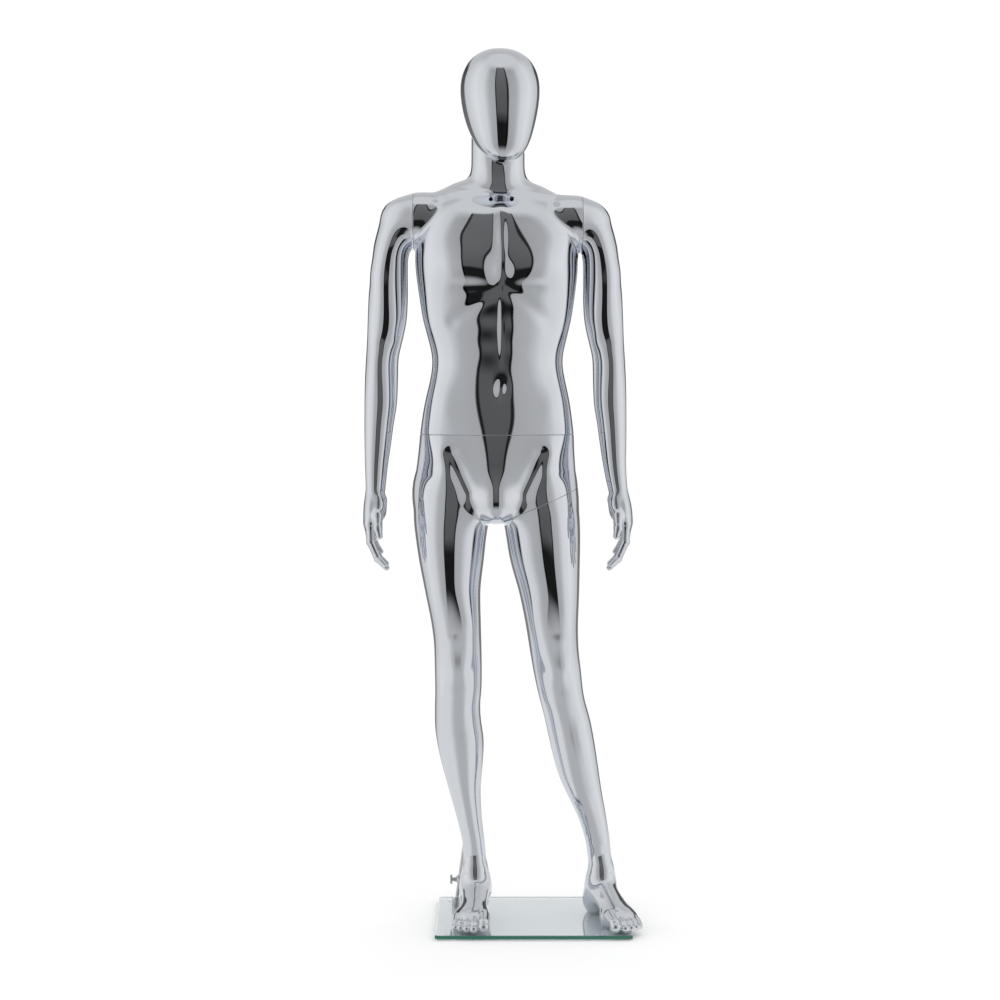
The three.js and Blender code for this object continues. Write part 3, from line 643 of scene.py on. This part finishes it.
def skin(field, axes):
    """A closed triangle mesh of the field's skin, in millimetres."""
    points, quads = surface_nets(sample(field, axes), axes)
    points = relax(settle(field, points, 1), quads, 2)
    points = settle(field, points, 3)
    tris = np.concatenate([quads[:, [0, 1, 2]], quads[:, [0, 2, 3]]])
    return points, tris


def clip(v, tris, g):
    """Keeps the part of a triangle mesh where g is 0 or more, cut cleanly at 0."""
    keep = g[tris] >= 0
    count = keep.sum(1)
    whole = tris[count == 3]
    edges = []
    for wanted in (1, 2):
        part, flag = tris[count == wanted], keep[count == wanted]
        odd = flag if wanted == 1 else ~flag
        turn = odd.argmax(1)
        rows = np.arange(len(part))
        a, b, c = (part[rows, (turn + i) % 3] for i in range(3))
        edges.append((a, b, c))
    (a1, b1, c1), (a2, b2, c2) = edges
    pairs = np.concatenate([np.stack(p, 1) for p in ((a1, b1), (a1, c1), (a2, b2), (a2, c2))])
    unique, at = np.unique(np.sort(pairs, 1), axis=0, return_inverse=True)
    at = at.ravel()
    ga, gb = g[unique[:, 0]], g[unique[:, 1]]
    t = (ga / (ga - gb))[:, None]
    fresh = v[unique[:, 0]] * (1 - t) + v[unique[:, 1]] * t
    base = len(v)
    cut = base + at
    n1, n2 = len(a1), len(a2)
    ab1, ac1 = cut[:n1], cut[n1:2 * n1]
    ab2, ac2 = cut[2 * n1:2 * n1 + n2], cut[2 * n1 + n2:]
    tris = np.concatenate([whole, np.stack([a1, ab1, ac1], 1), np.stack([ab2, b2, c2], 1),
                           np.stack([ab2, c2, ac2], 1)])
    used = np.unique(tris)
    index = -np.ones(base + len(fresh), np.int64)
    index[used] = np.arange(len(used))
    return np.concatenate([v, fresh])[used], index[tris]


def add_piece(name, mesh):
    piece = bpy.data.objects.new(name, mesh)
    bpy.context.scene.collection.objects.link(piece)
    return piece


def open_edges(tris):
    """The edges that belong to one triangle only, in that triangle's direction."""
    pairs = np.concatenate([tris[:, [0, 1]], tris[:, [1, 2]], tris[:, [2, 0]]])
    keys = np.sort(pairs, 1)
    _, first, times = np.unique(keys, axis=0, return_index=True, return_counts=True)
    return pairs[first[times == 1]]


# the turned-in edge of a shell: (towards the seam, inwards) at each step, in millimetres
LIP = ((0.0, 0.0), (0.5, 0.14), (0.84, 0.5), (0.96, 1.05), (0.96, WALL))
LINING_SINK = 0.5  # how much deeper the lining's far end lies


def unit(v):
    """Each row scaled to length 1."""
    return v / np.maximum(np.linalg.norm(v, axis=1, keepdims=True), 1e-6)


def turn_in(v, normals, tris, cuts):
    """Adds the turned-in edge and the lining behind it along every open edge of a cut skin."""
    edges = open_edges(tris)
    rim = np.unique(edges)
    if not len(rim):
        return v, normals, tris
    where = -np.ones(len(v), np.int64)
    where[rim] = np.arange(len(rim))
    ring_edges = where[edges]
    nearest = np.stack([np.abs(value(v[rim])) for value, _, _ in cuts]).argmin(0)
    across = np.stack([way(v[rim]) for _, way, _ in cuts])[nearest, np.arange(len(rim))]
    lining = np.array([cut[2] for cut in cuts])[nearest][:, None]
    out = normals[rim]
    lean = (out * across).sum(1, keepdims=True)
    flat = unit(out - lean * across)
    slide = unit(across - lean * out)  # along the skin, towards the seam
    room = np.sqrt(np.maximum(1 - lean * lean, 0))  # a smaller lip where the skin runs with the seam
    base, rims, extra_v, extra_n = v[rim], [rim], [], []
    for i, (forward, inward) in enumerate(LIP[1:], 1):
        rims.append(len(v) + (i - 1) * len(rim) + np.arange(len(rim)))
        extra_v.append(base + room * (forward * across - inward * flat))
        before, after = LIP[i - 1], LIP[min(i + 1, len(LIP) - 1)]
        extra_n.append(unit(flat * (after[0] - before[0]) + across * (after[1] - before[1])))
    rims.append(len(v) + (len(LIP) - 1) * len(rim) + np.arange(len(rim)))
    extra_v.append(extra_v[-1] - lining * slide - LINING_SINK * out)
    extra_n.append(-out)
    strips = []
    for lower_ring, upper_ring in zip(rims, rims[1:]):
        a, b = lower_ring[ring_edges[:, 0]], lower_ring[ring_edges[:, 1]]
        c, d = upper_ring[ring_edges[:, 0]], upper_ring[ring_edges[:, 1]]
        strips += [np.stack([b, a, c], 1), np.stack([b, c, d], 1)]
    return (np.concatenate([v] + extra_v), np.concatenate([normals] + extra_n),
            np.concatenate([tris] + strips))


def shell(name, body, node, field, v, tris, cuts):
    """Cuts a skin at its seams, turns its edges in and makes the Blender mesh.

    cuts holds (value, direction, lining) triples: value(v) is 0 at the seam and positive on
    the kept side, direction(v) points across the seam, away from the kept side, and lining is
    how far the turned-in edge runs back under the skin."""
    for value, _, _ in cuts:
        v, tris = clip(v, tris, value(v))
    normals = gradient(field, v)
    normals /= np.linalg.norm(normals, axis=1, keepdims=True)
    v, normals, tris = turn_in(v, normals, tris, cuts)
    mesh = bpy.data.meshes.new(name)
    mesh.vertices.add(len(v))
    mesh.vertices.foreach_set("co", (v * MM).astype(np.float32).ravel())
    mesh.loops.add(3 * len(tris))
    mesh.loops.foreach_set("vertex_index", tris.astype(np.int32).ravel())
    mesh.polygons.add(len(tris))
    mesh.polygons.foreach_set("loop_start", np.arange(0, 3 * len(tris), 3, dtype=np.int32))
    mesh.update()
    mesh.validate()
    mesh.shade_smooth()
    mesh.normals_split_custom_set_from_vertices(normals.astype(np.float32).tolist())
    piece = add_piece(name, mesh)
    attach(piece, body)
    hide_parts(node)
    mesh.materials.append(FINISH["mirror_shell"])


# ---- materials ----
def new_material(name):
    material = bpy.data.materials.new(name)
    material.use_nodes = True
    nodes = material.node_tree.nodes
    return material, nodes, material.node_tree.links, nodes["Principled BSDF"]


def map_range(nodes, links, value, span, out=(0.0, 1.0), smooth=False):
    """Brings a value from one span to another."""
    node = nodes.new("ShaderNodeMapRange")
    if smooth:
        node.interpolation_type = "SMOOTHSTEP"
    node.inputs["From Min"].default_value, node.inputs["From Max"].default_value = span
    node.inputs["To Min"].default_value, node.inputs["To Max"].default_value = out
    links.new(value, node.inputs["Value"])
    return node.outputs["Result"]


def noise(nodes, links, scale, detail, span):
    """A noise over object space, as it is and brought between two values."""
    place = nodes.new("ShaderNodeTexCoord")
    texture = nodes.new("ShaderNodeTexNoise")
    texture.inputs["Scale"].default_value = scale
    texture.inputs["Detail"].default_value = detail
    links.new(place.outputs["Object"], texture.inputs["Vector"])
    return texture.outputs["Fac"], map_range(nodes, links, texture.outputs["Fac"], (0, 1), span)


def mirror_chrome():
    """Bright plating, a little bluish, with the slight unevenness of a moulded shell's polish."""
    material, nodes, links, shader = new_material("mirror_chrome")
    shader.inputs["Metallic"].default_value = 1.0
    shader.inputs["Base Color"].default_value = (0.76, 0.785, 0.83, 1)
    _, rough = noise(nodes, links, 9.0, 2.0, (0.03, 0.06))
    links.new(rough, shader.inputs["Roughness"])
    return material


def grained(name, colour, scale, detail, rough, strength, depth, metallic=0.0):
    """A finish with a fine grain, which sets its roughness and its bump."""
    material, nodes, links, shader = new_material(name)
    shader.inputs["Metallic"].default_value = metallic
    shader.inputs["Base Color"].default_value = (*colour, 1)
    grain, level = noise(nodes, links, scale, detail, rough)
    links.new(level, shader.inputs["Roughness"])
    bump = nodes.new("ShaderNodeBump")
    bump.inputs["Strength"].default_value = strength
    bump.inputs["Distance"].default_value = depth
    links.new(grain, bump.inputs["Height"])
    links.new(bump.outputs["Normal"], shader.inputs["Normal"])
    return material


def clear_glass():
    """Clear from above, and deep green where the light runs the long way, at the edges."""
    material, nodes, links, shader = new_material("clear_glass")
    shader.inputs["IOR"].default_value = 1.52  # float glass
    facing, split = nodes.new("ShaderNodeNewGeometry"), nodes.new("ShaderNodeSeparateXYZ")
    links.new(facing.outputs["True Normal"], split.inputs[0])
    upright = nodes.new("ShaderNodeMath")
    upright.operation = "ABSOLUTE"
    links.new(split.outputs["Z"], upright.inputs[0])
    sheer = map_range(nodes, links, upright.outputs[0], (0.5, 0.9))  # 0 on the edges, 1 on the faces
    tint = nodes.new("ShaderNodeMix")
    tint.data_type = "RGBA"
    tint.inputs["A"].default_value = (0.022, 0.135, 0.092, 1)
    tint.inputs["B"].default_value = (0.90, 0.955, 0.985, 1)
    links.new(sheer, tint.inputs["Factor"])
    links.new(tint.outputs["Result"], shader.inputs["Base Color"])
    links.new(sheer, shader.inputs["Transmission Weight"])
    _, rough = noise(nodes, links, 30.0, 2.0, (0.0, 0.02))
    links.new(rough, shader.inputs["Roughness"])
    return material


FINISH = {
    "mirror_shell": mirror_chrome(),
    "fitting_steel": grained("dull_steel", (0.66, 0.66, 0.67), 420, 4, (0.28, 0.42), 0.12, 0.0004,
                             metallic=1.0),
    "fitting_plate": grained("black_nylon", (0.035, 0.035, 0.038), 900, 3, (0.45, 0.62), 0.2, 0.0003),
    "base_glass": clear_glass(),
    "soft_pad": grained("soft_pad", (0.72, 0.76, 0.75), 700, 2, (0.3, 0.45), 0.1, 0.0002),
}
for row in frame["record"]["subparts"]:
    data = frame["nodes"][row["node"]].data
    data.materials.clear()
    data.materials.append(FINISH[row["material_slot"]])

# ---- shells ----
coarse = 1.0
TINY, FINE, MID = 1.5 * coarse, 2.3 * coarse, 4.4 * coarse  # grid spacings


def plane(normal, offset, lining=12.0):
    """A flat seam: the kept side is where normal . p is above the offset."""
    normal = np.array(normal, float)
    return (lambda v: v @ normal - offset), (lambda v: np.broadcast_to(-normal, v.shape)), lining


def round_hole(x, z, radius):
    """A bore along Y through the front of the trunk."""
    def outside(p):
        far = np.hypot(p[:, 0] - x, p[:, 2] - z) - radius
        return np.where(p[:, 1] < 0, far, np.abs(far) + 1)

    def towards_axis(p):
        return unit(np.stack([x - p[:, 0], np.zeros(len(p)), z - p[:, 2]], 1))

    return outside, towards_axis, 1.0


def make_upper():
    """The torso and both arms, cut from one skin so that they meet exactly."""
    hands = 226.0  # the arms and hands lie further out than this
    holes = max(abs(x) for x in NECK_HOLES) + 8
    axes = [
        spaced([(BODY_X - 298, FINE), (BODY_X - hands, MID), (BODY_X - holes, TINY),
                (BODY_X + holes, MID), (BODY_X + hands, FINE), (BODY_X + 298, FINE)]),
        spaced([(-142, MID), (-96, FINE), (22, MID), (124, MID)]),
        spaced([(755, FINE), (955, MID), (HOLE_Z - 8, TINY), (HOLE_Z + 8, MID), (1748, MID)]),
    ]
    v, tris = skin(upper, axes)
    right, left = BODY_X - SHOULDER, BODY_X + SHOULDER
    waist = plane((0, 0, 1), WAIST_Z + SEAM)
    bores = [round_hole(BODY_X + x, HOLE_Z, HOLE_R) for x in NECK_HOLES]
    shell("torso_shell", "upper_body", "torso", upper, v, tris,
          [waist, plane((1, 0, 0), right + SEAM), plane((-1, 0, 0), -(left - SEAM))] + bores)
    for name, side, at in (("right", -1, right), ("left", 1, left)):
        shell(f"{name}_arm_shell", f"{name}_arm", f"{name}_arm", upper, v, tris,
              [plane((side, 0, 0), side * at + SEAM)])


def make_head():
    """The egg, open below around the neck."""
    axes = [spaced([(-100, MID * 0.8), (92, 1)]), spaced([(-136, MID * 0.8), (112, 1)]),
            spaced([(1622, MID * 0.8), (1892, 1)])]
    v, tris = skin(head, axes)
    reach = NECK_R + NECK_PLAY

    def outside_neck(p):
        far = np.hypot(p[:, 0] - BODY_X, p[:, 1] - NECK_Y) - reach
        return np.where(p[:, 2] < NECK_TOP, far, np.abs(far) + 1)

    def towards_neck(p):
        return unit(np.stack([BODY_X - p[:, 0], NECK_Y - p[:, 1], np.zeros(len(p))], 1))

    shell("head_shell", "head", "head", head, v, tris, [(outside_neck, towards_neck, 1.0)])


def make_lower():
    """The hips with the standing leg, and the loose leg, cut from one skin."""
    axes = [
        spaced([(-200, MID), (-96, FINE), (-14, MID), (188, FINE * 1.1), (310, FINE)]),
        spaced([(-184, FINE), (-96, MID), (132, MID)]),
        spaced([(8, FINE), (58, FINE * 1.4), (124, MID * 1.15), (1072, MID)]),
    ]
    v, tris = skin(lower, axes)
    slant = np.array([-math.sin(THIGH_SLOPE), 0, math.cos(THIGH_SLOPE)])
    height = slant[0] * THIGH_X + slant[2] * THIGH_Z
    waist = plane((0, 0, -1), -(WAIST_Z - SEAM))

    def above_or_right(p):
        return np.maximum(p @ slant - height - SEAM, CROTCH_X - SEAM - p[:, 0])

    def across(p):
        above = p @ slant - height - SEAM > CROTCH_X - SEAM - p[:, 0]
        return np.where(above[:, None], -slant, np.array([1.0, 0, 0]))

    shell("lower_body_shell", "base", "lower_body", lower, v, tris,
          [waist, (above_or_right, across, 2.5)])
    shell("left_leg_shell", "base", "left_leg", lower, v, tris,
          [plane(-slant, -(height - SEAM), 2.5), plane((1, 0, 0), CROTCH_X + SEAM, 2.5)])


def lathe(name, profile, sides, place, turn=None):
    """A closed turned solid about Z from (radius, height) points, moved to its place."""
    bm = bmesh.new()
    rings = []
    for radius, height in profile:
        if radius == 0:
            rings.append([bm.verts.new((0, 0, height))])
        else:
            rings.append([bm.verts.new((radius * math.cos(a), radius * math.sin(a), height))
                          for a in (2 * math.pi * k / sides for k in range(sides))])
    for low, high in zip(rings, rings[1:]):
        for k in range(sides):
            corner = [low[k % len(low)], low[(k + 1) % len(low)],
                      high[(k + 1) % len(high)], high[k % len(high)]]
            corner = list(dict.fromkeys(corner))
            bm.faces.new(corner)
    bmesh.ops.recalc_face_normals(bm, faces=bm.faces)
    if turn:
        bmesh.ops.rotate(bm, verts=bm.verts, cent=(0, 0, 0), matrix=turn)
    bmesh.ops.translate(bm, verts=bm.verts, vec=place)
    mesh = bpy.data.meshes.new(name)
    bm.to_mesh(mesh)
    bm.free()
    return add_piece(name, mesh)


def make_neck_hole_shade_cups():
    """A black cup behind each of the two small holes at the root of the neck: painted shade, which
    darkens the inside of each hole.
    """
    out, inner, depth, wall = (MM * size for size in
                               (HOLE_R + SHADE_CUP_WALL, HOLE_R - 0.1, HOLE_DEPTH, 2.0))
    profile = [(0, wall), (inner, wall), (inner, depth), (out, depth), (out, 0), (0, 0)]
    behind = WALL + HOLE_DEPTH + 2.5  # from the skin back to the cup's bottom
    forward = Matrix.Rotation(math.radians(90), 3, "X")
    for i, x in enumerate(NECK_HOLES, 1):
        near = np.array([[BODY_X + x, -78.0, HOLE_Z]])
        front = settle(upper, near, steps=12, most=6.0)[0][1]
        place = (MM * (BODY_X + x), MM * (front + behind), MM * HOLE_Z)
        piece = lathe(f"neck_hole_shade_cup_{i}", profile, 24, place, forward)
        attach(piece, "upper_body")
        # the black nylon makes each cup read as painted shade inside its hole
        piece.data.materials.append(FINISH["fitting_plate"])


def make_glass():
    """The base plate with its ground and polished edges, bored for the collar's screw."""
    low, high = (np.array(corner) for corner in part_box("glass_base"))
    bm = bmesh.new()
    bmesh.ops.create_cube(bm, size=1, matrix=Matrix.Translation(
        [float(m) for m in (low + high) / 2]) @ Matrix.Diagonal([*(float(m) for m in high - low), 1]))
    upright = [e for e in bm.edges if abs(e.verts[0].co.z - e.verts[1].co.z) > MM]
    bmesh.ops.bevel(bm, geom=upright, offset=GLASS_CORNER * MM, segments=5, affect="EDGES")
    rims = [e for e in bm.edges if abs(e.verts[0].co.z - e.verts[1].co.z) < 1e-6
            and any(abs(f.normal.z) > 0.5 for f in e.link_faces)
            and any(abs(f.normal.z) < 0.5 for f in e.link_faces)]
    bmesh.ops.bevel(bm, geom=rims, offset=GLASS_EDGE * MM, segments=2, affect="EDGES")
    mesh = bpy.data.meshes.new("glass_plate")
    bm.to_mesh(mesh)
    bm.free()
    piece = add_piece("glass_plate", mesh)
    radius, length = BOLT_HOLE_R * MM, 0.03
    bore = lathe("bore", [(0, 0), (radius, 0), (radius, length), (0, length)], 32,
                 (MM * ROD_FOOT[0], MM * ROD_FOOT[1], -0.005))
    cut = piece.modifiers.new("bore", "BOOLEAN")
    cut.object, cut.operation, cut.solver = bore, "DIFFERENCE", "EXACT"
    bpy.context.view_layer.objects.active = piece
    bpy.ops.object.modifier_apply(modifier="bore")
    bpy.data.objects.remove(bore, do_unlink=True)
    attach(piece, "base")
    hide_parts("glass_base")
    piece.data.materials.clear()  # the bore brings an empty slot with it
    piece.data.materials.append(FINISH["base_glass"])


make_upper()
make_head()
make_lower()
make_neck_hole_shade_cups()
make_glass()


# ---- stage ----
# A pale floor and a white room. What the mirror shells show of the room is two tall soft
# panels at the sides, a soft panel overhead, a dark gap at the front and dark flags beside
# a white backdrop.
# the painted floor reflection: a disc that glows and that only the shells' reflections see, dimmer in
# front of the figure than beside it
SHEET_NEAR, SHEET_FAR = 0.9, 2.4  # the sheet is whole up to the first and gone at the second
SHEET_SIDE, SHEET_FRONT = 0.80, 0.52  # its brightness beside the figure and in front of it


def disc(name, radius, height):
    bpy.ops.mesh.primitive_circle_add(vertices=96, radius=radius, fill_type="NGON",
                                      location=(0, 0, height))
    made = bpy.context.object
    made.name = name
    return made


def make_floor():
    """The pale floor, which the shells don't reflect."""
    floor = disc("floor", 40.0, 0.0)
    floor.visible_glossy = False
    material, _, _, shader = new_material("floor")
    shader.inputs["Base Color"].default_value = (0.96, 0.96, 0.96, 1)
    shader.inputs["Roughness"].default_value = 0.9
    shader.inputs["Specular IOR Level"].default_value = 0.1
    floor.data.materials.append(material)


def make_painted_floor_reflection():
    """A glowing disc that only glossy rays see: a painted reflection of the floor in the shells, pale
    near the figure and fading out further away.
    """
    sheet = disc("painted_floor_reflection", SHEET_FAR, 0.0005)
    for ray in ("camera", "diffuse", "transmission", "shadow"):
        setattr(sheet, f"visible_{ray}", False)
    material = bpy.data.materials.new("painted_floor_reflection")
    material.use_nodes = True
    nodes, links = material.node_tree.nodes, material.node_tree.links
    nodes.clear()
    place, far = nodes.new("ShaderNodeTexCoord"), nodes.new("ShaderNodeVectorMath")
    heading, front = nodes.new("ShaderNodeVectorMath"), nodes.new("ShaderNodeVectorMath")
    far.operation, heading.operation, front.operation = "LENGTH", "NORMALIZE", "DOT_PRODUCT"
    front.inputs[1].default_value = (0, -1, 0)
    links.new(place.outputs["Object"], far.inputs[0])
    links.new(place.outputs["Object"], heading.inputs[0])
    links.new(heading.outputs[0], front.inputs[0])
    fade = map_range(nodes, links, far.outputs["Value"], (SHEET_NEAR, SHEET_FAR), smooth=True)
    level = map_range(nodes, links, front.outputs["Value"], (0.55, 0.95), (SHEET_SIDE, SHEET_FRONT),
                      smooth=True)
    glow, clear = nodes.new("ShaderNodeEmission"), nodes.new("ShaderNodeBsdfTransparent")
    mix, output = nodes.new("ShaderNodeMixShader"), nodes.new("ShaderNodeOutputMaterial")
    links.new(level, glow.inputs["Strength"])
    links.new(fade, mix.inputs[0])
    links.new(glow.outputs[0], mix.inputs[1])
    links.new(clear.outputs[0], mix.inputs[2])
    links.new(mix.outputs[0], output.inputs["Surface"])
    sheet.data.materials.append(material)


PLAIN_LEVEL, LIGHT_LEVEL = 1.03, 1.12  # the room as it is seen, and as it lights the floor


def degrees(*pairs, span):
    """Ramp stops from (angle, value) pairs, over -span..span or 0..span."""
    low = -span if span == 90 else 0
    return [((angle - low) / (span - low), value) for angle, value in pairs]


def build_world():
    """The room: plain white to the eye and to the glass, and the panels to the mirror shells."""
    world = bpy.data.worlds.new("studio")
    bpy.context.scene.world = world
    world.use_nodes = True
    nodes, links = world.node_tree.nodes, world.node_tree.links
    nodes.clear()

    def math_node(operation, a, b=None):
        node = nodes.new("ShaderNodeMath")
        node.operation = operation
        for socket, value in zip(node.inputs, (a, b)):
            if isinstance(value, (int, float)):
                socket.default_value = value
            elif value is not None:
                links.new(value, socket)
        return node.outputs[0]

    def ramp(value, stops):
        node = nodes.new("ShaderNodeValToRGB")
        elements = node.color_ramp.elements
        while len(elements) > 1:
            elements.remove(elements[0])
        elements[0].position, level = stops[0]
        elements[0].color = (level, level, level, 1)
        for place, level in stops[1:]:
            elements.new(place).color = (level, level, level, 1)
        links.new(value, node.inputs[0])
        return node.outputs[0]

    def blend(share, a, b):
        """a where share is 0 and b where it is 1."""
        left = math_node("MULTIPLY", a, math_node("SUBTRACT", 1.0, share))
        return math_node("ADD", left, math_node("MULTIPLY", b, share))

    place = nodes.new("ShaderNodeTexCoord")
    split = nodes.new("ShaderNodeSeparateXYZ")
    links.new(place.outputs["Generated"], split.inputs[0])
    x, y, z = split.outputs
    around = math_node("ARCTAN2", x, math_node("MULTIPLY", y, -1.0))  # 0 straight in front
    side = math_node("DIVIDE", math_node("ABSOLUTE", around), math.pi)
    high = math_node("DIVIDE", math_node("ARCSINE", z), math.pi)
    high = math_node("ADD", high, 0.5)

    panels = ramp(side, degrees((0, 0.50), (22, 0.46), (42, 0.52), (62, 0.80), (96, 0.90),
                                (118, 0.78), (138, 0.66), span=180))
    panels = math_node("MULTIPLY", panels, ramp(high, degrees(
        (-90, 0.95), (-50, 0.86), (0, 1.0), (45, 0.92), (64, 0.80), (90, 0.9), span=90)))
    overhead = ramp(high, degrees((56, 0), (70, 1), span=90))
    panels = blend(overhead, panels, 0.72)
    gap = ramp(high, degrees((-90, 0.7), (-66, 0.7), (-62, 0.012), (-10, 0.012), (-4, 0.11),
                             (30, 0.14), (62, 0.17), span=90))
    inside = ramp(side, degrees((15.5, 1.0), (17, 0.12), (19.5, 0.12), (20.5, 1.0), span=180))
    gap = math_node("MULTIPLY", gap, inside)
    in_gap = math_node("MULTIPLY", ramp(side, degrees((19.5, 1), (20.5, 0), span=180)),
                       ramp(high, degrees((64, 1), (67, 0), span=90)))
    flags = ramp(high, degrees((-30, 0.34), (-5, 0.20), (20, 0.05), (60, 0.04), span=90))
    backdrop = math_node("MULTIPLY", ramp(side, degrees((165, 0), (169, 1), span=180)),
                         ramp(high, degrees((28, 1), (34, 0), span=90)))
    flags = blend(backdrop, flags, 1.0)
    in_flags = math_node("MULTIPLY", ramp(side, degrees((140, 0), (144, 1), span=180)),
                         ramp(high, degrees((20, 1), (27, 0), span=90)))
    seen = blend(in_flags, blend(in_gap, panels, gap), flags)

    path = nodes.new("ShaderNodeLightPath")
    plain = math_node("MAXIMUM", path.outputs["Is Camera Ray"], path.outputs["Is Transmission Ray"])
    level = blend(path.outputs["Is Diffuse Ray"], blend(plain, seen, PLAIN_LEVEL), LIGHT_LEVEL)
    background = nodes.new("ShaderNodeBackground")
    links.new(level, background.inputs["Strength"])
    output = nodes.new("ShaderNodeOutputWorld")
    links.new(background.outputs[0], output.inputs["Surface"])
    background.inputs["Color"].default_value = (1, 1, 1, 1)


CAMERA_PLACE, CAMERA_TILT, CAMERA_LENS = (0, -4.712, 1.1689), 3.054, 78.78


def make_camera():
    """4.7 m in front of the figure, a little above its middle, looking slightly down at it."""
    data = bpy.data.cameras.new("camera")
    data.sensor_width = 36
    data.lens = CAMERA_LENS
    camera = bpy.data.objects.new("camera", data)
    bpy.context.scene.collection.objects.link(camera)
    camera.location = CAMERA_PLACE
    camera.rotation_euler = (math.radians(90 - CAMERA_TILT), 0, 0)
    bpy.context.scene.camera = camera


make_floor()
make_painted_floor_reflection()
build_world()
make_camera()
bpy.context.scene.view_settings.view_transform = "Standard"
